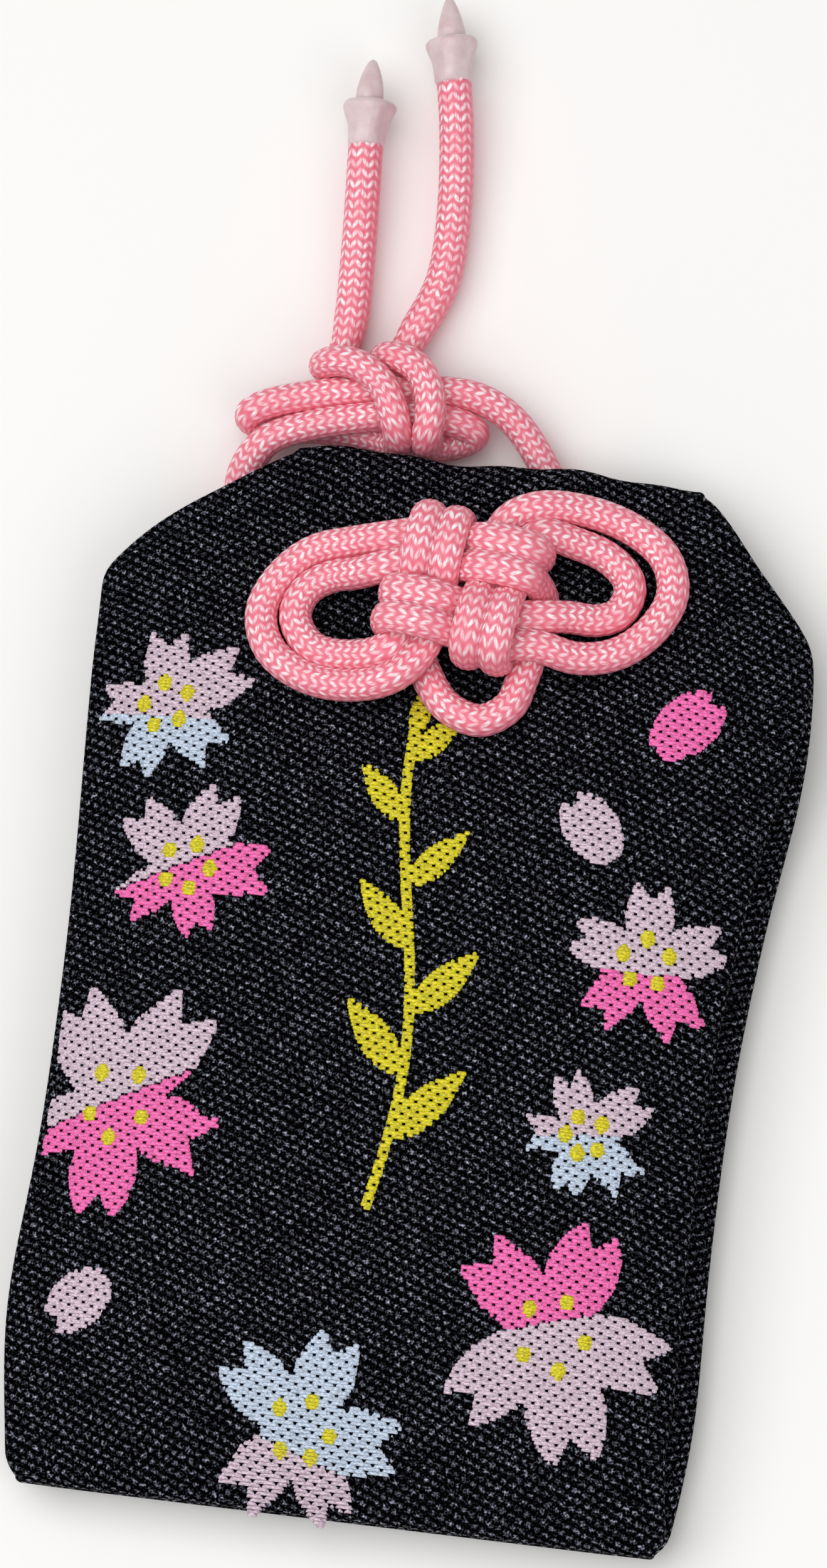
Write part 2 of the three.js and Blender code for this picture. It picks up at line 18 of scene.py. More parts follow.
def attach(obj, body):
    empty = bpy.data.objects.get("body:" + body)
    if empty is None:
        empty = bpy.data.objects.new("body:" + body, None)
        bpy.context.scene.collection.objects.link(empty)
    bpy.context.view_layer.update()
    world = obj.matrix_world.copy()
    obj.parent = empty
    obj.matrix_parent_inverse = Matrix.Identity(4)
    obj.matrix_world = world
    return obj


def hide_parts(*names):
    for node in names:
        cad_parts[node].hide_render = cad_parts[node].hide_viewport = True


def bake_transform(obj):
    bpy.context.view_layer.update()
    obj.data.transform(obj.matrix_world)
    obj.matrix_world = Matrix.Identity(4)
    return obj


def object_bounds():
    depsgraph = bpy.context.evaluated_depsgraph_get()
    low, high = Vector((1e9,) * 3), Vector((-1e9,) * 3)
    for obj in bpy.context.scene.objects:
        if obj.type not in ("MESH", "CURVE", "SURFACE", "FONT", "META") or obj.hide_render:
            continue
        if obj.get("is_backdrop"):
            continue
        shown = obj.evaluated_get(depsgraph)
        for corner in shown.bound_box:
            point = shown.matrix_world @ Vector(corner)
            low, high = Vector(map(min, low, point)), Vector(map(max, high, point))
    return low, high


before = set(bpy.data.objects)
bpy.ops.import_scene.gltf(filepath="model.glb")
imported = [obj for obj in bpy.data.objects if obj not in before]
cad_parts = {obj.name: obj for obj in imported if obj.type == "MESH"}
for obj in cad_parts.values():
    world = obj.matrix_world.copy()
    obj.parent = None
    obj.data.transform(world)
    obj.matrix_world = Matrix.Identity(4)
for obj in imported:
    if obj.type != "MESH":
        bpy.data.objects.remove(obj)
cad_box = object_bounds()

# %% [markdown]
# Lengths are written in millimetres, as on a pattern sheet, and become metres when a mesh is
# made. Colours are written as sRGB hex values, as a colour picker gives them, and one function
# turns them into the linear values that shaders use. Nodes could be placed by hand in Blender's
# editor. One small function adds them here, so a whole tree can be read from top to bottom.

# %% Units, colours and small builders
MM = 0.001
math_kind, vector_kind, range_kind = "ShaderNodeMath", "ShaderNodeVectorMath", "ShaderNodeMapRange"
mix_kind, noise_kind = "ShaderNodeMix", "ShaderNodeTexNoise"


def linear(hex_colour):
    channels = [int(hex_colour[i : i + 2], 16) / 255 for i in (1, 3, 5)]
    curve = [c / 12.92 if c <= 0.04045 else ((c + 0.055) / 1.055) ** 2.4 for c in channels]
    return (*curve, 1.0)


def add(tree, kind, links=None, **settings):
    """One node of a tree: settings are its properties, links feed its inputs by name or number."""
    made = tree.nodes.new(kind)
    for name, value in settings.items():
        setattr(made, name, value)
    for name, value in (links or {}).items():
        socket = made.inputs[name]
        value = value.outputs[0] if isinstance(value, bpy.types.Node) else value
        if isinstance(value, bpy.types.NodeSocket):
            tree.links.new(value, socket)
        else:
            socket.default_value = value
    return made


def blank_material(name):
    """A new material, its tree and its shader."""
    material = bpy.data.materials.new(name)
    material.use_nodes = True
    return material, material.node_tree, material.node_tree.nodes["Principled BSDF"]


def linked(name, data):
    """An object of that name in the scene."""
    made = bpy.data.objects.new(name, data)
    bpy.context.scene.collection.objects.link(made)
    return made


def mesh_piece(name, points_mm, faces, material, uv=None):
    """A mesh object from points in millimetres, smooth shaded, with an optional UV per point."""
    mesh = bpy.data.meshes.new(name)
    points = np.asarray(points_mm, float) * MM
    mesh.from_pydata(points.tolist(), [], [list(face) for face in faces])
    if uv is not None:
        corner = np.empty(len(mesh.loops), np.int32)
        mesh.loops.foreach_get("vertex_index", corner)
        layer = mesh.uv_layers.new(name="pattern")
        layer.data.foreach_set("uv", np.asarray(uv, np.float32)[corner].ravel())
    mesh.polygons.foreach_set("use_smooth", [True] * len(mesh.polygons))
    mesh.materials.append(material)
    return linked(name, mesh)


# %% [markdown]
# ## The shape of the filled pouch
# The pouch is two panels that swell between their seams and close flat at the mouth. These are
# the rules of the solids: an outline, and a height for the back and the face at each place.
# `across` runs from -1 at the left edge to 1 at the right, and `up` from the bottom fold.
#
# The shape could be sculpted or inflated. Rules are used, because the cloth, the woven threads
# and the cord all have to lie on the same surface, and each of them can ask a rule for its height.

# %% Pouch sizes and surface rules
CLEARANCE = 0.3
POUCH_HEIGHT = 75.0
SHOULDER_WIDTH, BOTTOM_WIDTH, SHOULDER_DROP = 51.2, 46.0, 10.5
LEFT_SHOULDER_RUN, RIGHT_SHOULDER_RUN = 13.2, 9.5
POUCH_DEPTH, MOUTH_DEPTH, FABRIC = 9.0, 3.6, 0.5
BACK_SEAM_HEIGHT, FRONT_RIM_HEIGHT, BACK_RIM_HEIGHT = 2.4, 5.4, 1.9
BOTTOM_SWELL, BACK_SWELL, MOUTH_SWELL, TAPER_LENGTH = 14.0, 6.0, 4.0, 30.0
BACK_FLAT_SHARE, LIFT_START, LIFT_END = 0.7, 48.0, 58.0
GUSSET_TOP = 57.0
SOLID_CORD = 2.2
CORNER_EASE, BOTTOM_ROUND, MOUTH_ROUND = 1.4, 2.4, 1.6
FACE_DRAWN_IN, DRAWN_FROM, DRAWN_TO = 1.3, (0, 8), (50, 64)
LEFT_BULGES = [(12, 1.0, 9), (40, -0.4, 14), (69, 1.5, 4)]
RIGHT_BULGES = [(9, 0.6, 8), (34, -0.7, 14), (56, 0.7, 7)]
SHOULDER = POUCH_HEIGHT - SHOULDER_DROP
MOUTH_Y = POUCH_HEIGHT / 2
TOP_LIFT = SOLID_CORD + 3 * CLEARANCE
SEAM_STACK = 2 * FABRIC + CLEARANCE
FACE_SEAM_HEIGHT = BACK_SEAM_HEIGHT + SEAM_STACK


def lerp(a, b, t):
    return a + (b - a) * t


def smoothstep(x, low, high):
    t = np.clip((x - low) / (high - low), 0, 1)
    return t * t * (3 - 2 * t)


def swell(distance, run, power):
    return 1 - (1 - np.clip(distance / run, 0, 1)) ** power


def edges(up):
    """Left and right edge of the cloth: straight cuts, eased and bulged by the filling."""
    side = lerp(BOTTOM_WIDTH, SHOULDER_WIDTH, up / SHOULDER) / 2
    rounded = 0.0
    for radius, distance in ((BOTTOM_ROUND, up), (MOUTH_ROUND, POUCH_HEIGHT - up)):
        short = np.clip(radius - distance, 0, radius)
        rounded = rounded + radius - np.sqrt(radius**2 - short**2)
    halves = []
    for run, bulges in ((LEFT_SHOULDER_RUN, LEFT_BULGES), (RIGHT_SHOULDER_RUN, RIGHT_BULGES)):
        cut = SHOULDER_WIDTH / 2 - run * (up - SHOULDER) / SHOULDER_DROP
        eased = (side + cut - np.sqrt((side - cut) ** 2 + CORNER_EASE**2)) / 2
        pushed = sum(reach * np.exp(-(((up - at) / spread) ** 2)) for at, reach, spread in bulges)
        halves.append(eased + pushed - rounded)
    return -halves[0], halves[1]


def face_edges(up):
    """Edges of the face: it is drawn in on the right and leaves a strip of the back in view."""
    left, right = edges(up)
    drawn = smoothstep(up, *DRAWN_FROM) * (1 - smoothstep(up, *DRAWN_TO))
    return left, right - FACE_DRAWN_IN * drawn


def back_rim(up):
    low = lerp(BACK_SEAM_HEIGHT, BACK_RIM_HEIGHT, swell(up, BACK_SWELL, 2))
    return lerp(low, TOP_LIFT + CLEARANCE, smoothstep(up, LIFT_START, LIFT_END))


def back_height(across, up):
    lift = TOP_LIFT * smoothstep(up, LIFT_START, LIFT_END)
    floor = BACK_SEAM_HEIGHT * (1 - swell(up, BACK_SWELL, 2)) + lift
    edge = np.clip((np.abs(across) - BACK_FLAT_SHARE) / (1 - BACK_FLAT_SHARE), 0, 1)
    return lerp(floor, back_rim(up), edge**2)


def face_height(across, up):
    rise = swell(up, BOTTOM_SWELL, 2.5)
    taper = smoothstep(up, POUCH_HEIGHT - TAPER_LENGTH, POUCH_HEIGHT)
    closing = swell(POUCH_HEIGHT - up, MOUTH_SWELL, 2)
    open_height = lerp(POUCH_DEPTH, TOP_LIFT + MOUTH_DEPTH, taper)
    crest = lerp(TOP_LIFT + SEAM_STACK, lerp(FACE_SEAM_HEIGHT, open_height, rise), closing)
    side = lerp(FACE_SEAM_HEIGHT, FRONT_RIM_HEIGHT, rise)
    side = lerp(side, back_rim(up) + SEAM_STACK, smoothstep(up, GUSSET_TOP, SHOULDER))
    rim = lerp(back_height(across, up) + SEAM_STACK, side, closing)
    return lerp(rim, crest, 1 - across**4)


def place(across, up):
    left, right = edges(up)
    return lerp(left, right, (across + 1) / 2), up - POUCH_HEIGHT / 2


def face_at(x, y):
    """Height of the face under a point of the plan."""
    up = np.clip(y + POUCH_HEIGHT / 2, 0, POUCH_HEIGHT - MOUTH_SWELL)
    left, right = face_edges(up)
    return face_height(np.clip(2 * (x - left) / (right - left) - 1, -1, 1), up)


print("face height at the middle:", round(float(face_at(0.0, 0.0)), 2), "mm")

# %% [markdown]
# ## Camera
# The photograph looks almost straight down on the charm with a long lens, from a little below
# and to the right of it, and the charm lies turned a few degrees clockwise in the frame. The
# camera could be turned by eye. Here it is placed from a target, two tilts and a roll, so each of
# them can be matched to the photograph alone, and the lens follows from the height of the frame.

# %% Camera
FRAME_HEIGHT = 108.6
TARGET = Vector((-1.3, 14.15, 5.0))
CAMERA_DISTANCE = 620.0
TILT_DOWN, TILT_RIGHT, ROLL = math.radians(12), math.radians(8), math.radians(8)
SENSOR = 36.0

camera = linked("camera", bpy.data.cameras.new("camera"))
bpy.context.scene.camera = camera
towards = Vector((math.tan(TILT_RIGHT), -math.tan(TILT_DOWN), 1)).normalized()
camera.location = (TARGET + towards * CAMERA_DISTANCE) * MM
image_right = Vector((0, 1, 0)).cross(towards).normalized()
axes = Matrix((image_right, towards.cross(image_right), towards)).transposed()
camera.rotation_euler = (axes @ Matrix.Rotation(ROLL, 3, "Z")).to_euler()
camera.data.sensor_width = SENSOR
camera.data.lens = SENSOR * CAMERA_DISTANCE / FRAME_HEIGHT
camera.data.clip_start, camera.data.clip_end = 0.01, 10
print("lens:", round(camera.data.lens), "mm")

# %% [markdown]
# ## Satin brocade
# The ground is an eight-end satin of black polyester. At each binding point a short pad of
# filaments stands up and glints, and with every pick the points move three ends over, so the
# eye sees slanting rows of specks. The glints are painted into the colour as pale specks, and the
# same specks also shine.
#
# A picture of cloth would show its own light and would repeat. The weave is worked out in the
# shader instead, from the thread counts of the cloth. The UV map is in millimetres, so the
# spacing is the real one, and a slow noise makes the threads drift as they do in a soft cloth.

# %% Satin material
END_PITCH, PICK_PITCH = 0.205, 0.232
PAD_LENGTH, PAD_WIDTH, PAD_SLANT, THREAD_DRIFT = 0.95, 0.75, 0.67, 0.4


def satin_material(name, thread, painted_glint):
    """Woven polyester satin: dark and smooth, with painted highlights, bright specks in the colour
    where filaments stand up.
    """
    material, tree, shader = blank_material(name)
    uv = add(tree, "ShaderNodeUVMap", uv_map="pattern")
    drift = add(tree, noise_kind, {"Vector": uv, "Scale": 2.4, "Detail": 2.0})
    drift_by = {0: drift.outputs["Color"], 1: (THREAD_DRIFT, THREAD_DRIFT, 0), 2: uv}
    drifted = add(tree, vector_kind, drift_by, operation="MULTIPLY_ADD")
    count = add(tree, vector_kind, {0: drifted, 1: (END_PITCH, PICK_PITCH, 1)}, operation="DIVIDE")
    # Two steps join the binding points: three ends over and a pick down, two ends and picks up.
    climb = add(tree, vector_kind, {0: count, 1: (1 / 8, 3 / 8, 0)}, operation="DOT_PRODUCT")
    fall = add(tree, vector_kind, {0: count, 1: (1 / 4, -1 / 4, 0)}, operation="DOT_PRODUCT")
    steps = add(tree, "ShaderNodeCombineXYZ", {0: climb.outputs["Value"], 1: fall.outputs["Value"]})
    nearest = add(tree, vector_kind, {0: steps, 1: (0.5, 0.5, 0)})
    point = add(tree, vector_kind, {0: nearest}, operation="FLOOR")
    off = add(tree, vector_kind, {0: steps, 1: point}, operation="SUBTRACT")
    # A pad is long along the falling row, where it nearly meets the next one.
    aside = add(tree, vector_kind, {0: off, 1: (2 / PAD_WIDTH, 0, 0)}, operation="DOT_PRODUCT")
    pad_axis = (PAD_SLANT / PAD_LENGTH, 2 / PAD_LENGTH, 0)
    along = add(tree, vector_kind, {0: off, 1: pad_axis}, operation="DOT_PRODUCT")
    way = {0: aside.outputs["Value"], 1: along.outputs["Value"]}
    from_point = add(tree, "ShaderNodeCombineXYZ", way)
    distance = add(tree, vector_kind, {0: from_point}, operation="LENGTH").outputs["Value"]
    pad = add(tree, range_kind, {"Value": distance, "From Min": 1.3, "From Max": 0.1})
    # Filaments break the outline of a pad, and the highest glint, on some pads more than others.
    # Real ones are about 0.02 mm thick, too fine to show, so they are drawn coarser.
    ragged = {"Vector": uv, "Scale": 6.5, "Detail": 1.2, "Roughness": 0.5}
    filament = add(tree, noise_kind, ragged)
    stands = add(tree, math_kind, {0: pad, 1: 0.34, 2: filament}, operation="MULTIPLY_ADD")
    fleck = add(tree, range_kind, {"Value": stands, "From Min": 0.55, "From Max": 0.98})
    steep = add(tree, math_kind, {0: fleck, 1: 2.6}, operation="POWER")
    chance = add(tree, "ShaderNodeTexWhiteNoise", {"Vector": point}, noise_dimensions="2D")
    some = {0: chance.outputs["Value"], 1: 0.45, 2: 0.25}
    lively = add(tree, math_kind, some, operation="MULTIPLY_ADD")
    lit = add(tree, math_kind, {0: steep, 1: lively}, operation="MULTIPLY", use_clamp=True)
    # Painted highlight: the glint colour brightens the specks in the base colour, whatever the light.
    thread_and_painted_glint = {"Factor": lit, 6: linear(thread), 7: linear(painted_glint)}
    colour = add(tree, mix_kind, thread_and_painted_glint, data_type="RGBA")
    tree.links.new(colour.outputs[2], shader.inputs["Base Color"])
    bump = add(tree, "ShaderNodeBump", {"Height": fleck, "Strength": 0.4, "Distance": 0.06 * MM})
    tree.links.new(bump.outputs[0], shader.inputs["Normal"])
    # Only the specks shine. The plain value is for a viewer that reads no pattern here.
    shader.inputs["Specular IOR Level"].default_value = 0.2
    tree.links.new(lit.outputs[0], shader.inputs["Specular IOR Level"])
    shader.inputs["Roughness"].default_value = 0.42
    return material


# The pale blue-white is the painted glint of the specks.
brocade = satin_material("polyester_satin", "#020203", "#d2d6ee")
print(brocade.name, round(10 / END_PITCH), "ends and", round(10 / PICK_PITCH), "picks to the cm")

# %% [markdown]
# ## Panels
# Each panel is one sheet of cloth. A flat cut could be draped by a cloth simulation, but then its
# place would be known only roughly, and threads and cord have to lie on it. So it is a grid of
# points from the rules above, and a Solidify modifier gives it its thickness inwards. Where the
# cord goes through, no thread is cut: the threads part round it, and so do the points of the grid.

# %% Sheets of cloth
HOLE_RADIUS, HOLE_REACH, HOLE_CUT = 1.35, 3.2, 0.4


def bake(piece):
    """Turns a piece and its modifiers into a plain mesh."""
    graph = bpy.context.evaluated_depsgraph_get()
    mesh = bpy.data.meshes.new_from_object(piece.evaluated_get(graph))
    piece.modifiers.clear()
    piece.data = mesh
    mesh.polygons.foreach_set("use_smooth", [True] * len(mesh.polygons))
    return piece


def cloth(name, points, pattern, thickness, material, holes=()):
    """A sheet from a grid of points, seen from its right side; threads part round each hole."""
    points = points.copy()
    tall, wide = points.shape[:2]
    index = np.arange(wide * tall).reshape(tall, wide)
    corners = [index[:-1, :-1], index[:-1, 1:], index[1:, 1:], index[1:, :-1]]
    quads = np.stack(corners, -1).reshape(-1, 4)
    flat = points.reshape(-1, 3)
    kept = np.ones(len(quads), bool)
    for hole in holes:
        off = flat[:, :2] - hole
        distance = np.maximum(np.linalg.norm(off, axis=1), 1e-6)
        middle = flat[quads].mean(1)[:, :2] - hole
        kept &= np.linalg.norm(middle, axis=1) > HOLE_CUT
        parted = HOLE_RADIUS + (HOLE_REACH - HOLE_RADIUS) * distance / HOLE_REACH
        near = distance < HOLE_REACH
        flat[near, :2] = (hole + off * (parted / distance)[:, None])[near]
    piece = mesh_piece(name, flat, quads[kept], material, pattern.reshape(-1, 2))
    wall = piece.modifiers.new("thickness", "SOLIDIFY")
    wall.thickness = thickness * MM
    wall.offset = -1
    return bake(piece)


# %% [markdown]
# At its rim a panel rolls inwards, where the seam allowance is turned under. A Bevel modifier
# would round that edge evenly. Here the grid has a few more columns and rows that go round a
# small arc, so that the edge is a fold, and at the mouth it stands up in a slight wave.

# %% Panels
ROLL_RADIUS, ROLL_INSET, ROLL_STEPS, ROLL_SLOPE, ROLL_CLOTH = 0.8, 0.7, 7, 0.6, 2.0
CLOTH_THICKNESS = 0.35
KNOT_X, KNOT_Y = 1.0, MOUTH_Y - 10.4
HOLE_A, HOLE_B = (-3.1, 2.6), (2.5, 3.1)
CORD_HOLES = [(KNOT_X + x, KNOT_Y + y) for x, y in (HOLE_A, HOLE_B)]
WAVE_RUN, WAVE_STAND, WAVES = 6.0, 0.35, [(0.25, 0.42, 5.2), (0.1, 1.1, 0.0)]


def rim_stations(count):
    """Shares from one rim to the other, and how far each has gone round its roll, signed."""
    turn = np.arange(1, ROLL_STEPS + 1) / ROLL_STEPS
    rim = np.ones(ROLL_STEPS)
    share = np.concatenate([-rim, np.linspace(-1, 1, count), rim])
    return share, np.concatenate([-turn[::-1], np.zeros(count), turn])


def mouth_wave(x):
    """How far the cloth stands up past the mouth line: it is gathered unevenly over the fold."""
    return WAVE_STAND + sum(reach * np.sin(turns * x + start) for reach, turns, start in WAVES)


def panel(name, height, side, columns, rows, material):
    """A cloth sheet over a height rule; side is 1 for the face and -1 for the back."""
    share_c, turn_c = rim_stations(columns)
    share_r, turn_r = (v[:, None] for v in rim_stations(rows))
    up = lerp(ROLL_INSET, POUCH_HEIGHT - ROLL_INSET, (share_r + 1) / 2) + 0 * share_c
    left, right = face_edges(up) if side > 0 else edges(up)
    x = lerp(left + ROLL_INSET, right - ROLL_INSET, (share_c + 1) / 2)
    across = 2 * (x - left) / (right - left) - 1
    # At a corner the cloth rolls over both rims at once, along the diagonal.
    reach = np.maximum(np.hypot(turn_c, turn_r), 1e-9)
    angle = lerp(ROLL_SLOPE, math.pi, np.maximum(np.abs(turn_c), np.abs(turn_r)))
    out = ROLL_RADIUS * (np.sin(angle) - math.sin(ROLL_SLOPE))
    down = ROLL_RADIUS * (np.cos(angle) - math.cos(ROLL_SLOPE))
    y = up - POUCH_HEIGHT / 2 + mouth_wave(x) * smoothstep(up, POUCH_HEIGHT - WAVE_RUN, POUCH_HEIGHT)
    z = height(across, up) + side * down
    points = np.stack([x + out * turn_c / reach, y + out * turn_r / reach, z], -1)
    pattern = np.stack([x + ROLL_CLOTH * turn_c, up + ROLL_CLOTH * turn_r], -1)
    if side < 0:
        points, pattern = points[:, ::-1], pattern[:, ::-1]
    return cloth(name, points, pattern, CLOTH_THICKNESS, material, CORD_HOLES)


front_panel = panel("front_panel_cloth", face_height, 1, 150, 210, brocade)
back_panel = panel("back_panel_cloth", back_height, -1, 110, 150, brocade)
print("front panel:", len(front_panel.data.polygons), "faces")

# %% [markdown]
# ## Woven blossoms
# The pattern is brocaded: extra weft threads float over the ground inside each outline. Every
# few ends a warp thread binds them down, so a petal is rows of short pads with a dark dot
# between two pads, and its edge is toothed by the ends of the rows. A painted texture would lie
# flat, so the threads are made one by one, and each catches the light on its own crown.
#
# First the outlines. A blossom has five petals with a notched tip, and two colours that meet on
# a slanting line. Places are in millimetres across from the middle and up from the bottom fold.

# %% Blossom outlines
PATTERN_SHIFT = np.array([0.5, -0.8])
STAMEN_SHARE, STAMEN_RADIUS, MIDDLE_SHARE = 0.29, 0.58, 0.42
PETAL_SIDE = [(0, 0.17), (0.35, 0.28), (0.6, 0.32), (0.82, 0.27)]
FALLEN_SIDE = [(0, 0.18), (0.12, 0.36), (0.4, 0.5), (0.7, 0.48), (0.94, 0.3), (1, 0.16)]
NOTCH_SHARE, FALLEN_NOTCH = 0.8, 0.87

# Middle, petals as (direction in degrees, reach, degrees between its two tips), colour line as
# (slope in degrees, offset above the middle), and the colours above and below the line.
blossoms = [
    ((-19.57, 55.53), [(94, 5.5, 24), (32, 6.6, 22), (180, 4.7, 30), (254, 5.3, 20), (324, 5.5, 24)],
     (0, -0.9), "lavender", "pale_blue"),
    ((-16.26, 44.07), [(137, 5.9, 21), (69, 6.3, 17), (4, 6.1, 26), (290, 5.0, 18), (216, 5.2, 25)],
     (26, 0.4), "lavender", "pink"),
    ((-18.81, 27.18), [(120, 8.6, 19), (56, 9.0, 20), (-20, 7.5, 28), (268, 8.0, 16), (203, 6.4, 26)],
     (26, 0.4), "lavender", "pink"),
    ((-2.94, 6.41), [(140, 7.0, 18), (72, 7.0, 19), (-4, 6.9, 23), (297, 6.2, 19), (227, 6.5, 25)],
     (-17, -1.55), "pale_blue", "lavender"),
    ((13.29, 14.94), [(139, 7.7, 22), (72, 8.0, 15), (-9, 7.9, 21), (287, 9.0, 17), (225, 8.3, 18)],
     (18, 0.8), "pink", "lavender"),
    ((13.6, 28.7), [(112, 4.6, 18), (39, 5.1, 19), (184, 4.1, 34), (259, 4.4, 15), (-39, 4.7, 30)],
     (8, 0.0), "lavender", "pale_blue"),
    ((16.2, 41.2), [(92, 5.6, 20), (23, 5.7, 20), (166, 5.5, 17), (235, 5.4, 22), (306, 5.7, 26)],
     (1, -0.75), "lavender", "pink"),
]
# Foot, direction, length, width and colour of each fallen petal.
fallen_petals = [
    ((-17.5, 15.2), 223, 5.1, 4.0, "lavender"),
    ((14.9, 56.0), 48, 5.8, 4.1, "pink"),
    ((13.2, 48.0), 133, 5.4, 3.9, "lavender"),
]


def turned_by(degrees, points, middle):
    c, s = math.cos(math.radians(degrees)), math.sin(math.radians(degrees))
    return np.array([(x * c - y * s, x * s + y * c) for x, y in points]) + middle


def notched(side, notch, direction, middle):
    """An outline from one side of a petal, its mirror image and the notch between their tips."""
    outline = side + [(notch, 0)] + [(along, -aside) for along, aside in reversed(side)]
    return turned_by(direction, outline, np.array(middle) + PATTERN_SHIFT)


def petal(middle, direction, reach, spread):
    tip = math.tan(math.radians(spread) / 2)
    side = PETAL_SIDE + [(0.94, tip + 0.06), (1, tip)]
    side = [(along * reach, aside * reach) for along, aside in side]
    return notched(side, NOTCH_SHARE * reach, direction, middle)


def fallen_petal(foot, direction, length, width):
    side = [(along * length, aside * width) for along, aside in FALLEN_SIDE]
    return notched(side, FALLEN_NOTCH * length, direction, foot)


def disc(middle, radius):
    turns = np.linspace(0, 2 * math.pi, 24)[:-1]
    return np.array([(radius * math.cos(turn), radius * math.sin(turn)) for turn in turns]) + middle


print(len(blossoms), "blossoms and", len(fallen_petals), "fallen petals")


# %% [markdown]
# A sprig with pointed leaves stands in the middle of the face, woven in yellow. It could be drawn
# point by point. A wavy stem and one leaf that is set along it, to the left and right in turn and
# smaller towards the tip, need only a few numbers.

# %% Sprig outlines
SPRIG_FOOT, SPRIG_TIP, SPRIG_BEND, SPRIG_WAVES, STEM_WIDTH = 21.0, 55.0, 1.3, 0.8, 0.9
LEAF_SLOPE, LEAF_SHARE, LEAF_LENGTH, LEAF_LESS, LEAF_PITCH = 42, 0.36, 7.4, 0.35, 4.4
FIRST_LEAF, LAST_LEAF = SPRIG_FOOT + 5.0, SPRIG_TIP - 2.0
TOP_LEAF_DROP, TOP_LEAF_SLOPE, TOP_LEAF_LENGTH = 1.0, 84, 4.6


def stem_x(up):
    share = (up - SPRIG_FOOT) / (SPRIG_TIP - SPRIG_FOOT)
    return SPRIG_BEND * np.sin(share * SPRIG_WAVES * 2 * np.pi)


def leaf(foot, direction, length):
    along = np.linspace(0, 1, 12)
    half = LEAF_SHARE * length / 2 * np.sin(np.pi * along**0.8)
    side = list(zip(along * length, half))
    return turned_by(direction, side + [(a, -b) for a, b in reversed(side[1:-1])], foot)


heights = np.linspace(SPRIG_FOOT, SPRIG_TIP, 40)
stem = np.stack([stem_x(heights) + STEM_WIDTH / 2, heights], -1)
stem_back = np.stack([stem_x(heights) - STEM_WIDTH / 2, heights], -1)[::-1]
top_foot = (stem_x(SPRIG_TIP), SPRIG_TIP - TOP_LEAF_DROP)
sprig = [np.concatenate([stem, stem_back]), leaf(top_foot, TOP_LEAF_SLOPE, TOP_LEAF_LENGTH)]
for number, up in enumerate(np.arange(FIRST_LEAF, LAST_LEAF, LEAF_PITCH)):
    slope = 90 - LEAF_SLOPE if number % 2 == 0 else 90 + LEAF_SLOPE
    sprig.append(leaf((stem_x(up), up), slope, LEAF_LENGTH - LEAF_LESS * number))
print(len(sprig) - 1, "leaves on the sprig")

# %% [markdown]
# Then the rows, one to a pick. Each unbroken run of a row is one route that rises out of the
# cloth, dips under every eighth end and goes back in. As in the ground, the dips move three ends
# over with every pick. A route with evenly spaced points would need hundreds of thousands of
# them. These stand close only at the ends and dips, so a whole blossom stays light.

# %% Rows of weft
BIND_PITCH, BIND_SHIFT = 8 * END_PITCH, 3 * END_PITCH
BIND_WIDTH, END_WIDTH = 0.16, 0.08
BIND_STATIONS, END_STATIONS = np.array([-0.28, -0.14, 0, 0.14, 0.28]), np.array([0, 0.06, 0.14])
THREAD_RISE, DIP_DEPTH, STAMEN_LIFT = 0.07, 0.26, 0.07
SAMPLE_STEP, SHORTEST_RUN, EDGE_MARGIN = 0.05, 0.4, 0.8


def inside(outline, x, up):
    """Whether each x of a row lies in an outline, by counting the sides to its right."""
    crossed = np.zeros(len(x), int)
    for (xa, ya), (xb, yb) in zip(outline, np.roll(outline, -1, axis=0)):
        if (ya > up) != (yb > up):
            crossed += x < xa + (xb - xa) * (up - ya) / (yb - ya)
    return crossed % 2 == 1


def thread_route(a, b, row, up, bind, lift):
    """One run of a row as points: close together at its ends and dips, and far apart between."""
    run = [a + END_STATIONS, b - END_STATIONS]
    first = -row * BIND_SHIFT % BIND_PITCH
    low, high = math.ceil((a - first) / BIND_PITCH), math.floor((b - first) / BIND_PITCH)
    dips = first + BIND_PITCH * np.arange(low, high + 1) if bind else np.zeros(0)
    run = np.concatenate(run + [at + BIND_STATIONS for at in dips])
    run = np.unique(np.round(np.clip(run, a, b), 3))
    dip = np.exp(-((np.minimum(run - a, b - run) / END_WIDTH) ** 2))
    for at in dips:
        dip = np.maximum(dip, np.exp(-(((run - at) / BIND_WIDTH) ** 2)))
    left, right = face_edges(up)
    height = face_height(2 * (run - left) / (right - left) - 1, up)
    y = np.full(len(run), up - POUCH_HEIGHT / 2)
    return np.stack([run, y, height + lift + THREAD_RISE - DIP_DEPTH * dip], -1)


def woven(outlines, bind=True, lift=0.0, line=None, above=True):
    """Routes of the rows that cover the outlines, on one side of a colour line if there is one."""
    low, high = np.concatenate(outlines).min(0), np.concatenate(outlines).max(0)
    x = np.arange(low[0] - SAMPLE_STEP, high[0] + 2 * SAMPLE_STEP, SAMPLE_STEP)
    routes = []
    for row in range(math.ceil(low[1] / PICK_PITCH), math.floor(high[1] / PICK_PITCH) + 1):
        up = row * PICK_PITCH
        left, right = face_edges(up)
        covered = np.any([inside(outline, x, up) for outline in outlines], axis=0)
        covered &= (x > left + EDGE_MARGIN) & (x < right - EDGE_MARGIN)
        if line is not None:
            (line_x, line_up), slope = line
            covered &= (up > line_up + math.tan(math.radians(slope)) * (x - line_x)) == above
        change = np.diff(covered.astype(int))
        for a, b in zip(x[1:][change == 1], x[:-1][change == -1]):
            if b - a > SHORTEST_RUN:
                routes.append(thread_route(a, b, row, up, bind, lift))
    return routes


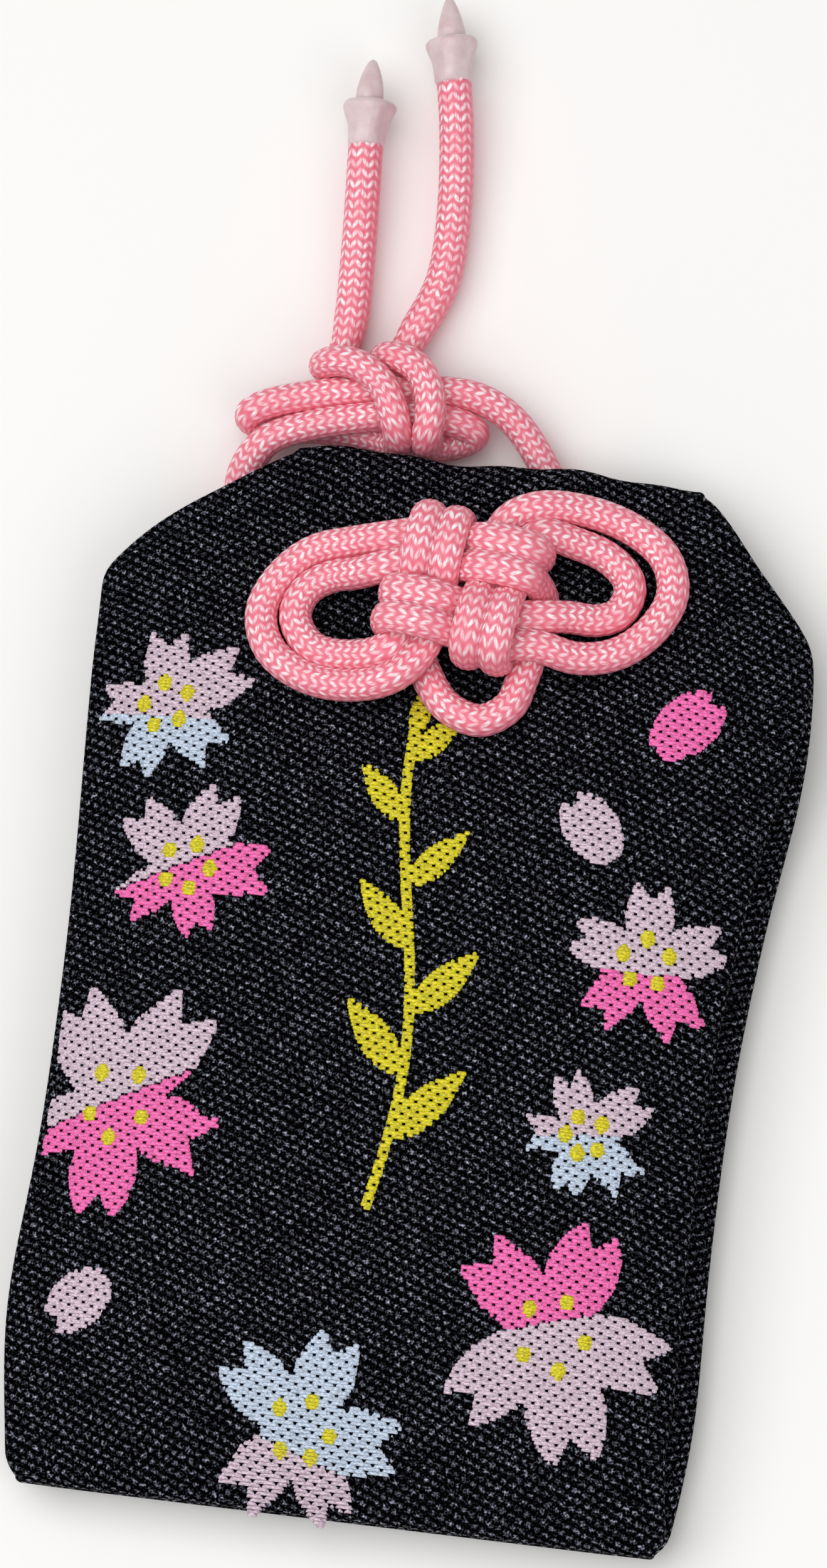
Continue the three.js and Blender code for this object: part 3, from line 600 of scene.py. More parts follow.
threads = {"lavender": [], "pink": [], "pale_blue": [], "yellow": []}
for middle, petals, (slope, offset), colour_above, colour_below in blossoms:
    reach = np.mean([petal_reach for _, petal_reach, _ in petals])
    heart = np.array(middle) + PATTERN_SHIFT
    outlines = [petal(middle, *shape) for shape in petals] + [disc(heart, MIDDLE_SHARE * reach)]
    line = (heart + [0, offset], slope)
    threads[colour_above] += woven(outlines, line=line)
    threads[colour_below] += woven(outlines, line=line, above=False)
    for direction, petal_reach, _ in petals:
        along = math.radians(direction)
        spot = heart + STAMEN_SHARE * petal_reach * np.array([math.cos(along), math.sin(along)])
        threads["yellow"] += woven([disc(spot, STAMEN_RADIUS)], bind=False, lift=STAMEN_LIFT)
for foot, direction, length, width, colour in fallen_petals:
    threads[colour] += woven([fallen_petal(foot, direction, length, width)])
threads["yellow"] += woven(sprig)
print({colour: len(routes) for colour, routes in threads.items()}, "rows")

# %% [markdown]
# Geometry Nodes turn the routes into yarn: each run becomes a curve, and a flattened round
# profile is swept along it with its width level with the cloth. A bevelled curve object could do
# this too. A tree was chosen, because one tree serves all colours and its sizes are inputs. The
# first two functions are for any tree: one makes it, and one turns what it gives into a mesh.

# %% Tree builders
def tree_with(name, inputs, output):
    """A Geometry Nodes tree with named inputs, their sockets and the outputs of its input node."""
    tree = bpy.data.node_groups.new(name, "GeometryNodeTree")
    sockets = {}
    for key, kind in inputs.items():
        socket_type = f"NodeSocket{kind}"
        sockets[key] = tree.interface.new_socket(key, in_out="INPUT", socket_type=socket_type)
    tree.interface.new_socket(output, in_out="OUTPUT", socket_type="NodeSocketGeometry")
    return tree, sockets, add(tree, "NodeGroupInput").outputs


def made_by(piece, tree, sockets, values):
    """The piece as a plain mesh, made by a tree with those input values."""
    modifier = piece.modifiers.new("nodes", "NODES")
    modifier.node_group = tree
    for key, value in values.items():
        modifier[sockets[key].identifier] = value
    return bake(piece)


# %% Yarn along the rows
yarn_inputs = {"Rows": "Geometry", "Width": "Float", "Height": "Float", "Yarn": "Material"}
yarn_tree, yarn_sockets, given = tree_with("yarn_along_rows", yarn_inputs, "Threads")
curves = add(yarn_tree, "GeometryNodeMeshToCurve", {0: given["Rows"]})
level = add(yarn_tree, "GeometryNodeSetCurveNormal", {"Curve": curves}, mode="Z_UP")
ring = add(yarn_tree, "GeometryNodeCurvePrimitiveCircle", {"Resolution": 6, "Radius": 0.5})
flat = add(yarn_tree, "ShaderNodeCombineXYZ", {0: given["Width"], 1: given["Height"], 2: 1.0})
profile = add(yarn_tree, "GeometryNodeTransform", {"Geometry": ring, "Scale": flat})
sweep = {"Curve": level, "Profile Curve": profile, "Fill Caps": True}
swept = add(yarn_tree, "GeometryNodeCurveToMesh", sweep)
smooth = add(yarn_tree, "GeometryNodeSetShadeSmooth", {"Geometry": swept})
real = add(yarn_tree, "GeometryNodeRealizeInstances", {"Geometry": smooth})
dyed = add(yarn_tree, "GeometryNodeSetMaterial", {"Geometry": real, "Material": given["Yarn"]})
add(yarn_tree, "NodeGroupOutput", {"Threads": dyed})
print(yarn_tree.name, len(yarn_tree.nodes), "nodes")

# %% [markdown]
# The weft is dyed viscose, a soft yarn of fine filaments with little twist. One colour all over
# would look like plastic, so a noise that is drawn out along the row varies its tone and gives it
# a slight relief. Its brightest streaks, half again as light as the dye, are painted sheen of the
# filaments. Each colour of yarn is one piece, and all of them lie on the face of the pouch.

# %% Dyed weft
def yarn_material(name, colour):
    """Dyed viscose yarn: filaments along the row vary a little in tone and stand in relief, and the
    brightest are painted sheen.
    """
    material, tree, shader = blank_material(name)
    where = add(tree, "ShaderNodeTexCoord")
    # Drawn out along the row, and coarser than real filaments, which are too fine to show.
    stretch = (5 / MM, 13 / MM, 13 / MM)
    along = add(tree, vector_kind, {0: where.outputs["Object"], 1: stretch}, operation="MULTIPLY")
    filament = add(tree, noise_kind, {"Vector": along, "Scale": 1.0, "Detail": 2.0})
    # Partly painted sheen: above 1 the tone lights the yarn past its dye, as light off the filaments
    # would.
    tones = {"From Min": 0.35, "From Max": 0.65, "To Min": 0.6, "To Max": 1.5}
    tone = add(tree, range_kind, {"Value": filament, **tones})
    toned_with_painted_sheen = add(tree, vector_kind, {0: linear(colour)[:3], "Scale": tone}, operation="SCALE")
    tree.links.new(toned_with_painted_sheen.outputs[0], shader.inputs["Base Color"])
    bump = add(tree, "ShaderNodeBump", {"Height": filament, "Strength": 0.4, "Distance": 0.04 * MM})
    tree.links.new(bump.outputs[0], shader.inputs["Normal"])
    shader.inputs["Roughness"].default_value = 0.42
    shader.inputs["Specular IOR Level"].default_value = 0.4
    return material


YARNS = {"lavender": "#c6b1be", "pink": "#e566a8", "pale_blue": "#b4c1d2", "yellow": "#cbbf18"}
YARN_WIDTH, YARN_HEIGHT = 0.31, 0.13
woven_pieces = []
for colour, routes in threads.items():
    counts = np.cumsum([0] + [len(route) for route in routes])
    links = [(k, k + 1) for a, b in zip(counts, counts[1:]) for k in range(a, b - 1)]
    mesh = bpy.data.meshes.new(f"{colour}_weft")
    mesh.from_pydata((np.concatenate(routes) * MM).tolist(), links, [])
    piece = linked(f"{colour}_weft", mesh)
    dyed = yarn_material(f"{colour}_yarn", YARNS[colour])
    sizes = {"Width": YARN_WIDTH * MM, "Height": YARN_HEIGHT * MM}
    made_by(piece, yarn_tree, yarn_sockets, {**sizes, "Yarn": dyed})
    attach(piece, "pouch")
    woven_pieces.append(piece)
    print(piece.name, len(piece.data.polygons), "faces")

# %% [markdown]
# The panels now take the place of their solids and ride on the pouch, as the weft of the face
# does.

# %% Panels in the frame
for piece, carried in ((front_panel, woven_pieces), (back_panel, [])):
    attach(piece, "pouch")
    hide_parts(piece.name.removesuffix("_cloth"))
    print(piece.name, "carries", len(carried), "pieces of weft")

# %% [markdown]
# ## Braided cord
# The cord is one length of polyester braid, 2.5 mm thick. Its yarns lie in columns round it and
# slant one way and the other in turn, so that neighbours make a V.
#
# First the route: an eased curve through a list of points, and for each point of the curve the
# direction across the cord, which stays level with the table where it can. A curve object would
# choose that direction itself and could turn the cord over in a tight bend, so that its stitches
# would spiral. Worked out here, it is carried from point to point.

# %% Cord routes
CORD_DIAMETER = 2.5
TUBE_STEP = 0.17
EASE_PASSES = 60
LEVELLING, FIRST_HINT = 0.12, (0.1, 0.2, 1.0)
SPAN_STEPS = 30
END_REACH, END_STEPS = 1.1, 6


def distances_along(centres):
    return np.concatenate([[0], np.cumsum(np.linalg.norm(np.diff(centres, axis=0), axis=1))])


def smooth_route(points, step):
    """Points at even steps along a centripetal Catmull-Rom curve."""
    points = np.asarray(points, float)
    ends = [2 * points[0] - points[1], 2 * points[-1] - points[-2]]
    padded = np.concatenate([ends[:1], points, ends[1:]])
    dense = []
    for p0, p1, p2, p3 in zip(padded, padded[1:], padded[2:], padded[3:]):
        t0 = 0.0
        t1 = t0 + np.linalg.norm(p1 - p0) ** 0.5
        t2 = t1 + np.linalg.norm(p2 - p1) ** 0.5
        t3 = t2 + np.linalg.norm(p3 - p2) ** 0.5
        t = np.linspace(t1, t2, SPAN_STEPS, endpoint=False)[:, None]
        a1 = (t1 - t) / (t1 - t0) * p0 + (t - t0) / (t1 - t0) * p1
        a2 = (t2 - t) / (t2 - t1) * p1 + (t - t1) / (t2 - t1) * p2
        a3 = (t3 - t) / (t3 - t2) * p2 + (t - t2) / (t3 - t2) * p3
        b1 = (t2 - t) / (t2 - t0) * a1 + (t - t0) / (t2 - t0) * a2
        b2 = (t3 - t) / (t3 - t1) * a2 + (t - t1) / (t3 - t1) * a3
        dense.append((t2 - t) / (t2 - t1) * b1 + (t - t1) / (t2 - t1) * b2)
    dense = np.concatenate([*dense, points[-1:]])
    for _ in range(EASE_PASSES):
        dense[1:-1] = (dense[:-2] + 2 * dense[1:-1] + dense[2:]) / 4
    along = distances_along(dense)
    stations = np.linspace(0, along[-1], max(2, round(along[-1] / step)) + 1)
    return np.stack([np.interp(stations, along, dense[:, i]) for i in range(3)], -1)


def directions_across(centres):
    """A direction across the cord at each centre, carried along the route and drawn level."""
    tangents = np.gradient(centres, axis=0)
    tangents /= np.linalg.norm(tangents, axis=1, keepdims=True)
    side = np.cross(FIRST_HINT, tangents[0])
    sides = []
    for tangent in tangents:
        level = np.cross([0, 0, 1.0], tangent)
        side = side + LEVELLING * level * np.sign(level @ side)
        side = side - tangent * (side @ tangent)
        side /= np.linalg.norm(side)
        sides.append(side)
    return np.array(sides)


def round_ends(line):
    """The line run on by a rounded end both ways, and the share of its full section at each point."""
    step = np.arange(1, END_STEPS + 1)[:, None] / END_STEPS
    before, after = (
        end + step * END_REACH * (end - inner) / np.linalg.norm(end - inner)
        for end, inner in ((line[0], line[1]), (line[-1], line[-2]))
    )
    share = np.sqrt(1 - step[:, 0] ** 2)
    centres = np.concatenate([before[::-1], line, after])
    return centres, np.concatenate([share[::-1], np.ones(len(line)), share])


print("a point of the cord every", TUBE_STEP, "mm")

# %% [markdown]
# Then the rule of the braid. Two counts find every stitch: the column round the cord and the
# stitch along it. Neighbouring columns lean opposite ways, and each stitch is a rounded pad. The
# yarns could be modelled one by one, but a rule costs far fewer faces and can be used twice, by
# the nodes that push the surface in and out and by the shader that colours it.

# %% Braid rule
PAD_FALL = 3.6


def stitch_rule(tree, column, stitches, slant):
    """The column's number, the place in the stitches, the way off the stitch's middle, its height."""
    number = add(tree, math_kind, {0: column}, operation="FLOOR")
    column_share = add(tree, math_kind, {0: column}, operation="FRACT")
    off_column = add(tree, math_kind, {0: column_share, 1: 0.5}, operation="SUBTRACT")
    parity = add(tree, math_kind, {0: number, 1: 2.0}, operation="FLOORED_MODULO")
    sign = add(tree, math_kind, {0: parity, 1: -2.0, 2: 1.0}, operation="MULTIPLY_ADD")
    lean = add(tree, math_kind, {0: sign, 1: slant}, operation="MULTIPLY")
    stitch = add(tree, math_kind, {0: lean, 1: off_column, 2: stitches}, operation="MULTIPLY_ADD")
    stitch_share = add(tree, math_kind, {0: stitch}, operation="FRACT")
    off_stitch = add(tree, math_kind, {0: stitch_share, 1: 0.5}, operation="SUBTRACT")
    off_both = add(tree, "ShaderNodeCombineXYZ", {0: off_column, 1: off_stitch})
    off_squared = add(tree, vector_kind, {0: off_both, 1: off_both}, operation="MULTIPLY")
    lowered = {0: off_squared, 1: (-PAD_FALL, -PAD_FALL, 0), 2: (1, 1, 0)}
    fall = add(tree, vector_kind, lowered, operation="MULTIPLY_ADD")
    above = add(tree, vector_kind, {0: fall, 1: (0, 0, 0)}, operation="MAXIMUM")
    pads = add(tree, "ShaderNodeSeparateXYZ", {0: above})
    pad = add(tree, math_kind, {0: pads.outputs[0], 1: pads.outputs[1]}, operation="MULTIPLY")
    return number, stitch, off_both, pad


# %% [markdown]
# Geometry Nodes sweep a ring along the route. They store the two counts as the UV map and push
# each point of the ring in or out by the rule. Bump in the material alone would leave a smooth
# outline, and the stitches show there. The seam and the two ends are welded, so that the cord is
# a closed mesh.

# %% Braid along a route
BRAID_SIZES = {"Columns": 16.0, "Pitch": 0.72 * MM, "Slant": 0.6, "Relief": 0.06 * MM, "Sides": 49}
WELD = 0.002 * MM
braid_inputs = {"Route": "Geometry", "Columns": "Float", "Pitch": "Float", "Slant": "Float"}
braid_inputs |= {"Relief": "Float", "Sides": "Int", "Braid": "Material"}
tree, braid_sockets, given = tree_with("braid_along_route", braid_inputs, "Cord")
named = "GeometryNodeInputNamedAttribute"
across, centre = (
    add(tree, named, {"Name": key}, data_type="FLOAT_VECTOR") for key in ("across", "centre")
)
along, width, thickness, column = (
    add(tree, named, {"Name": key}, data_type="FLOAT")
    for key in ("along", "width", "thickness", "column")
)

# The ring is open, so that the last column and the first don't share a UV.
route = add(tree, "GeometryNodeMeshToCurve", {0: given["Route"]})
framed = add(tree, "GeometryNodeSetCurveNormal", {"Curve": route, "Normal": across}, mode="FREE")
ring_sizes = {"Resolution": given["Sides"], "Radius": 1.0, "Sweep Angle": 2 * math.pi}
ring = add(tree, "GeometryNodeCurveArc", ring_sizes)
turn = add(tree, "GeometryNodeSplineParameter")
round_the_ring = {0: turn.outputs["Factor"], 1: given["Columns"]}
numbered = add(tree, math_kind, round_the_ring, operation="MULTIPLY")
counted = add(
    tree, "GeometryNodeStoreNamedAttribute", {"Geometry": ring, "Name": "column", "Value": numbered},
    data_type="FLOAT", domain="POINT",
)
tube = add(tree, "GeometryNodeCurveToMesh", {"Curve": framed, "Profile Curve": counted})

# Between the crowns of the stitches the surface is sunk.
stitches = add(tree, math_kind, {0: along, 1: given["Pitch"]}, operation="DIVIDE")
_, _, _, pad = stitch_rule(tree, column, stitches, given["Slant"])
crown = add(tree, math_kind, {0: pad, 1: 0.5}, operation="POWER")
below = add(tree, math_kind, {0: 1.0, 1: crown}, operation="SUBTRACT")
sunk = add(tree, math_kind, {0: below, 1: given["Relief"]}, operation="MULTIPLY")

# A point of the ring goes out by half the width across the cord and half the thickness through it.
position = add(tree, "GeometryNodeInputPosition")
spoke = add(tree, vector_kind, {0: position, 1: centre}, operation="SUBTRACT")
spoke_across = add(tree, vector_kind, {0: spoke, 1: across}, operation="PROJECT")
spoke_through = add(tree, vector_kind, {0: spoke, 1: spoke_across}, operation="SUBTRACT")
steps = []
for part, size in ((spoke_across, width), (spoke_through, thickness)):
    half = add(tree, math_kind, {0: size, 1: 0.5}, operation="MULTIPLY")
    left = add(tree, math_kind, {0: half, 1: sunk}, operation="SUBTRACT")
    reach = add(tree, math_kind, {0: left, 1: 0.0}, operation="MAXIMUM")
    steps.append(add(tree, vector_kind, {0: part, "Scale": reach}, operation="SCALE"))
step = add(tree, vector_kind, {0: steps[0], 1: steps[1]})
place_of = add(tree, vector_kind, {0: centre, 1: step})
raised = add(tree, "GeometryNodeSetPosition", {"Geometry": tube, "Position": place_of})
counts = add(tree, "ShaderNodeCombineXYZ", {0: column, 1: stitches})
mapped = add(
    tree, "GeometryNodeStoreNamedAttribute", {"Geometry": raised, "Name": "pattern", "Value": counts},
    data_type="FLOAT2", domain="CORNER",
)
closed = add(tree, "GeometryNodeMergeByDistance", {"Geometry": mapped, "Distance": WELD})
real = add(tree, "GeometryNodeRealizeInstances", {"Geometry": closed})
made_of = add(tree, "GeometryNodeSetMaterial", {"Geometry": real, "Material": given["Braid"]})
add(tree, "NodeGroupOutput", {"Cord": made_of})
braid_tree = tree
print(braid_tree.name, len(braid_tree.nodes), "nodes")

# %% [markdown]
# Each length of cord is its route with a few values stored at every point: how far along it is,
# its middle, the direction across it, and its width and thickness there. The tree reads them. A
# width of its own at each point lets one cord be round where it is free and flat where a knot
# presses it.


def braided_cord(name, points, section_at, material):
    """A braided cord through points in millimetres; section_at gives its width and thickness."""
    line = smooth_route(points, TUBE_STEP)
    centres, share = round_ends(line)
    mesh = bpy.data.meshes.new(name)
    mesh.from_pydata((centres * MM).tolist(), [(k, k + 1) for k in range(len(centres) - 1)], [])
    width, thickness = (size * share for size in section_at(centres))
    along = distances_along(centres)
    for key, values in (("along", along), ("width", width), ("thickness", thickness)):
        stored = mesh.attributes.new(key, "FLOAT", "POINT")
        stored.data.foreach_set("value", np.ascontiguousarray(values * MM))
    for key, values in (("centre", centres * MM), ("across", directions_across(centres))):
        mesh.attributes.new(key, "FLOAT_VECTOR", "POINT").data.foreach_set("vector", values.ravel())
    piece = linked(name, mesh)
    made_by(piece, braid_tree, braid_sockets, {**BRAID_SIZES, "Braid": material})
    return piece, line


# %% [markdown]
# The cord is pink polyester. Light goes a little way into its yarns, so they glow softly. The
# gaps between them are painted a deeper pink as shade, and single filaments on the crowns are
# painted almost white as highlights, on the side that faces the key lamp. A plain pink with gloss
# would look like rubber. The shader follows the same rule of the braid as the mesh, by the two
# counts in the UV map, so each painted highlight sits on a stitch.

# %% Cord material
# The side that the key lamp lights: glints are painted on the cord where it faces this way.
PAINTED_GLINT_SIDE = (-0.3, 0.15, 0.94)


def braid_material(name, painted_shade_gap, yarn, crown):
    """Braided polyester: soft yarns with gaps in painted shade, and painted highlights on the crowns.
    """
    material, tree, shader = blank_material(name)
    uv = add(tree, "ShaderNodeUVMap", uv_map="pattern")
    split = add(tree, "ShaderNodeSeparateXYZ", {0: uv})
    number, stitch, off_both, relief = stitch_rule(tree, *split.outputs[:2], BRAID_SIZES["Slant"])
    # Filaments lie along the yarn, and some on each crown are painted as catching the light. They
    # are drawn coarser than real ones, which are too fine to show.
    in_yarn = add(tree, "ShaderNodeCombineXYZ", {0: split.outputs[0], 1: stitch, 2: number})
    drawn = add(tree, vector_kind, {0: in_yarn, 1: (4.5, 2.0, 3.7)}, operation="MULTIPLY")
    filament = add(tree, noise_kind, {"Vector": drawn, "Scale": 1.0, "Detail": 2.0})
    bright = add(tree, range_kind, {"Value": filament, "From Min": 0.37, "From Max": 0.5})
    stitch_number = add(tree, math_kind, {0: stitch}, operation="FLOOR")
    cell = add(tree, "ShaderNodeCombineXYZ", {0: number, 1: stitch_number})
    chance = add(tree, "ShaderNodeTexWhiteNoise", {"Vector": cell}, noise_dimensions="2D")
    some = {0: chance.outputs["Value"], 1: 0.6, 2: 0.4}
    lively = add(tree, math_kind, some, operation="MULTIPLY_ADD")
    dash = add(tree, vector_kind, {0: off_both, 1: (0.62, 0.34, 1)}, operation="DIVIDE")
    from_crown = add(tree, vector_kind, {0: dash}, operation="LENGTH").outputs["Value"]
    crest = add(tree, range_kind, {"Value": from_crown, "From Min": 1.0, "From Max": 0.55})
    fleck = add(tree, math_kind, {0: bright, 1: lively}, operation="MULTIPLY")
    # Painted highlight: the glints are strongest where the surface faces the key lamp, and fade on
    # the sides.
    normal = add(tree, "ShaderNodeNewGeometry").outputs["Normal"]
    toward_glint_side = add(tree, vector_kind, {0: normal, 1: PAINTED_GLINT_SIDE}, operation="DOT_PRODUCT")
    painted_light_range = {"From Min": 0.1, "From Max": 0.75, "To Min": 0.1}
    painted_light_share = add(tree, range_kind, {"Value": toward_glint_side.outputs["Value"], **painted_light_range})
    crest_fleck = add(tree, math_kind, {0: crest, 1: fleck}, operation="MULTIPLY")
    painted_glint = add(tree, math_kind, {0: crest_fleck, 1: painted_light_share}, operation="MULTIPLY")
    # Painted shade: the gaps between stitches take the deeper pink, and the crowns the lighter one.
    body = add(tree, mix_kind, {"Factor": relief, 6: linear(painted_shade_gap), 7: linear(yarn)}, data_type="RGBA")
    # The crown colour is the painted highlight, mixed in by the glint mask.
    brightened = {"Factor": painted_glint, 6: body.outputs[2], 7: linear(crown)}
    lit = add(tree, mix_kind, brightened, data_type="RGBA")
    tree.links.new(lit.outputs[2], shader.inputs["Base Color"])
    bump = add(tree, "ShaderNodeBump", {"Height": relief, "Strength": 0.4, "Distance": 0.08 * MM})
    tree.links.new(bump.outputs[0], shader.inputs["Normal"])
    shader.inputs["Roughness"].default_value = 0.4
    shader.inputs["Specular IOR Level"].default_value = 0.5
    shader.inputs["Subsurface Weight"].default_value = 0.25
    shader.inputs["Subsurface Radius"].default_value = (0.9 * MM, 0.35 * MM, 0.3 * MM)
    shader.inputs["Subsurface Scale"].default_value = 1.0
    return material


# The first pink is the gaps in painted shade, and the white is the painted highlight on the crowns.
braid = braid_material("polyester_braid", "#e77085", "#f593a6", "#fffafc")
print(braid.name, "has", int(BRAID_SIZES["Columns"]), "columns of stitches")

# %% [markdown]
# ## Front knot
# One unbroken length: it comes out of the left hole, runs over and under itself in four pairs
# of strands round the middle, swings out in two loops on each side and a small one below, and
# goes back in at the right hole.
#
# The knot could be tied by a simulation of the cord, which seldom ends where it should. It is
# given by its points instead, as the solid is, and pressed a little closer to the face. The four
# limbs follow one rule, turned by quarters round the middle, and the loops between them follow the
# photograph.

# %% Front knot route
KNOT_TURN = math.radians(-5.4)
STRAND_INNER, STRAND_OUTER = 1.4, 3.4
LEVEL_BACK, LEVEL_MIDDLE, LEVEL_FRONT = 1.2, 3.1, 5.3
LIMB = [
    (3.3, LEVEL_BACK),
    (4.55, LEVEL_BACK + 0.75),
    (4.85, LEVEL_MIDDLE + 0.2),
    (4.4, LEVEL_FRONT - 0.55),
    (3.4, LEVEL_FRONT),
    (1.4, LEVEL_FRONT),
    (0, (LEVEL_FRONT + LEVEL_MIDDLE) / 2),
    (-1.4, LEVEL_MIDDLE),
    (-3.4, LEVEL_MIDDLE),
]
TOP, LEFT, BOTTOM, RIGHT = range(4)


def limb(quarter, offset):
    angle = KNOT_TURN + quarter * math.pi / 2
    c, s = math.cos(angle), math.sin(angle)
    return [(-offset * c - out * s, -offset * s + out * c, level) for out, level in LIMB]


inner_left_loop = [
    (-4.6, -4.9, 3.1), (-7.0, -5.5, 2.0), (-10.0, -5.1, 1.4), (-11.6, -2.9, 1.3),
    (-11.0, -0.8, 1.3), (-9.3, 0.3, 1.4), (-7.7, 0.5, 2.0), (-5.8, 0.95, 3.0),
]
outer_left_loop = [
    (-2.4, -5.2, 3.2), (-3.9, -6.9, 3.0), (-6.6, -7.6, 2.0), (-10.0, -7.3, 1.4), (-12.9, -5.6, 1.3),
    (-14.0, -2.9, 1.3), (-13.1, -0.2, 1.3), (-11.0, 2.0, 1.3), (-8.1, 2.8, 1.9), (-5.6, 3.2, 2.9),
]
outer_right_loop = [
    (5.6, -3.5, 2.9), (8.2, -3.9, 1.9), (11.0, -3.1, 1.3), (13.2, -1.0, 1.3), (14.2, 1.7, 1.3),
    (13.3, 4.3, 1.3), (10.6, 6.1, 1.4), (7.2, 6.8, 2.0), (4.2, 6.4, 3.0), (2.4, 5.2, 3.2),
]
inner_right_loop = [
    (4.7, 4.5, 3.1), (7.0, 4.4, 2.0), (9.5, 3.7, 1.4), (11.2, 2.0, 1.3),
    (10.8, -0.1, 1.3), (9.3, -0.9, 1.4), (7.6, -1.0, 2.0), (5.7, -1.4, 3.0),
]
small_loop = [
    (5.5, 0.0, 1.5), (5.3, -1.8, 1.2), (5.1, -3.8, 1.2), (4.7, -5.9, 1.2), (4.2, -7.7, 1.2),
    (2.3, -9.0, 1.2), (-0.2, -8.2, 1.2), (-1.7, -6.4, 1.2), (-2.7, -4.6, 1.2),
]
back_turn = [(1.3, -2.6, 1.2), (2.2, -2.0, 1.2), (3.1, -2.7, 1.2)]
back_arc = [(-2.4, -0.9, 1.2), (-1.4, 0.2, 1.2), (-1.2, 1.8, 1.2)]
knot_route = [
    (*HOLE_A, LEVEL_BACK),
    *limb(TOP, STRAND_OUTER),
    *inner_left_loop,
    *limb(RIGHT, STRAND_INNER)[:1:-1],
    *small_loop,
    *limb(LEFT, STRAND_OUTER),
    *outer_right_loop,
    *limb(BOTTOM, STRAND_INNER)[::-1],
    *back_turn,
    *limb(BOTTOM, STRAND_OUTER),
    *inner_right_loop,
    *limb(LEFT, STRAND_INNER)[::-1],
    *back_arc,
    *limb(TOP, STRAND_INNER),
    *outer_left_loop,
    *limb(RIGHT, STRAND_OUTER)[::-1],
    (*HOLE_B, LEVEL_BACK),
]
print("front knot:", len(knot_route), "points")

# %% [markdown]
# The points are heights above the face, so the knot lies on the swollen cloth. In the body of the
# knot the strands press each other flat. The width and the thickness change with the distance
# from the middle, which costs nothing and needs no collisions.

# %% Front knot
PRESSED_WIDTH, PRESSED_THICKNESS, LOOP_DIAMETER = 2.35, 1.7, 2.3
PRESSED_REACH, LOOSE_REACH = 5.0, 8.0


def on_face(points):
    """Knot points, given from its middle and above the face, in the frame."""
    x, y, level = (np.array(v) for v in zip(*points))
    return np.stack([KNOT_X + x, KNOT_Y + y, face_at(KNOT_X + x, KNOT_Y + y) + level], -1)


def knot_section(centres):
    """Round in the loops and pressed flat in the body of the knot."""
    reach = np.hypot(centres[:, 0] - KNOT_X, centres[:, 1] - KNOT_Y)
    loose = smoothstep(reach, PRESSED_REACH, LOOSE_REACH)
    return lerp(PRESSED_WIDTH, LOOP_DIAMETER, loose), lerp(PRESSED_THICKNESS, LOOP_DIAMETER, loose)


front_knot, knot_line = braided_cord("front_knot_cord", on_face(knot_route), knot_section, braid)
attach(front_knot, "knot")
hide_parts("front_knot")

# %% [markdown]
# ## Hanging loop and tails
# Behind the pouch each strand leaves its hole, runs out past the mouth and is hitched round the
# other. Points give this knot too, from the middle of the mouth. The cord is divided where a wrap
# hides it: the part behind the pouch, and the part with the tail.

# %% Strand and tail routes
left_strand = [
    (-2.1, -7.8, 3.8), (-2.15, -7.8, 2.7), (-2.9, -8.1, 1.7), (-4.8, -9.0, 1.4), (-9.0, -9.9, 1.4),
    (-12.6, -8.3, 1.4), (-15.7, -5.6, 1.4), (-16.8, -2.8, 1.5), (-16.4, -1.0, 2.1), (-15.2, 0.5, 3.0),
    (-12.5, 1.7, 3.3), (-9.2, 2.6, 3.3), (-6.0, 3.2, 3.3), (-3.6, 3.2, 3.3), (-2.0, 3.1, 3.1),
    (-0.8, 2.7, 2.3), (-1.6, 2.2, 1.5), (-2.9, 1.8, 1.3),
]
right_tail = [
    (-2.9, 1.8, 1.3), (-3.8, 1.4, 2.0), (-4.0, 1.35, 3.4), (-3.8, 1.8, 4.8), (-3.7, 3.2, 5.3),
    (-4.1, 4.8, 5.3), (-5.0, 6.2, 5.1), (-6.5, 7.0, 4.6), (-7.7, 7.2, 3.4), (-7.9, 7.2, 2.1),
    (-7.1, 7.7, 1.4), (-6.1, 9.8, 1.5), (-4.7, 13.6, 1.4), (-4.6, 19.2, 1.5), (-5.2, 25.0, 2.2),
    (-5.6, 27.1, 2.3), (-6.15, 29.9, 2.3),
]
right_strand = [
    (3.5, -7.3, 3.8), (3.55, -7.35, 2.7), (4.1, -7.9, 1.75), (5.6, -8.5, 1.4), (7.6, -8.1, 1.4),
    (8.7, -5.4, 1.4), (7.4, -2.6, 1.4), (5.2, -0.4, 1.4), (3.6, 1.9, 1.7), (1.6, 4.0, 2.5),
    (-1.0, 5.1, 3.2), (-4.4, 5.15, 3.3), (-8.0, 4.9, 3.3), (-12.2, 4.0, 3.3), (-15.0, 3.2, 3.3),
    (-16.6, 2.5, 2.8), (-16.8, 2.1, 1.9), (-15.4, 1.9, 1.3), (-12.0, 2.1, 1.3),
]
left_tail = [
    (-12.0, 2.1, 1.3), (-9.2, 2.0, 1.3), (-7.2, 1.6, 1.5), (-6.2, 1.35, 2.3), (-5.9, 1.35, 3.5),
    (-6.0, 1.9, 4.8), (-6.5, 3.3, 5.3), (-7.5, 4.9, 5.3), (-9.2, 6.0, 5.2), (-10.8, 6.3, 4.6),
    (-11.9, 6.3, 3.4), (-12.0, 6.4, 2.1), (-11.3, 7.0, 1.4), (-10.8, 9.3, 1.5), (-10.9, 14.0, 1.5),
    (-11.2, 20.0, 2.2), (-11.35, 22.0, 2.3), (-11.5, 24.7, 2.3),
]
print("strands:", len(left_strand), len(right_strand), "tails:", len(left_tail), len(right_tail))

# %% [markdown]
# The strands are drawn tight in the hitch, so they are thinner there. When the loop is drawn out,
# the slack behind the pouch gives way.

# %% Strands
HITCH_DIAMETER, HITCH_FROM, HITCH_TO = 2.2, (-1.5, 1.0), (8.0, 10.5)


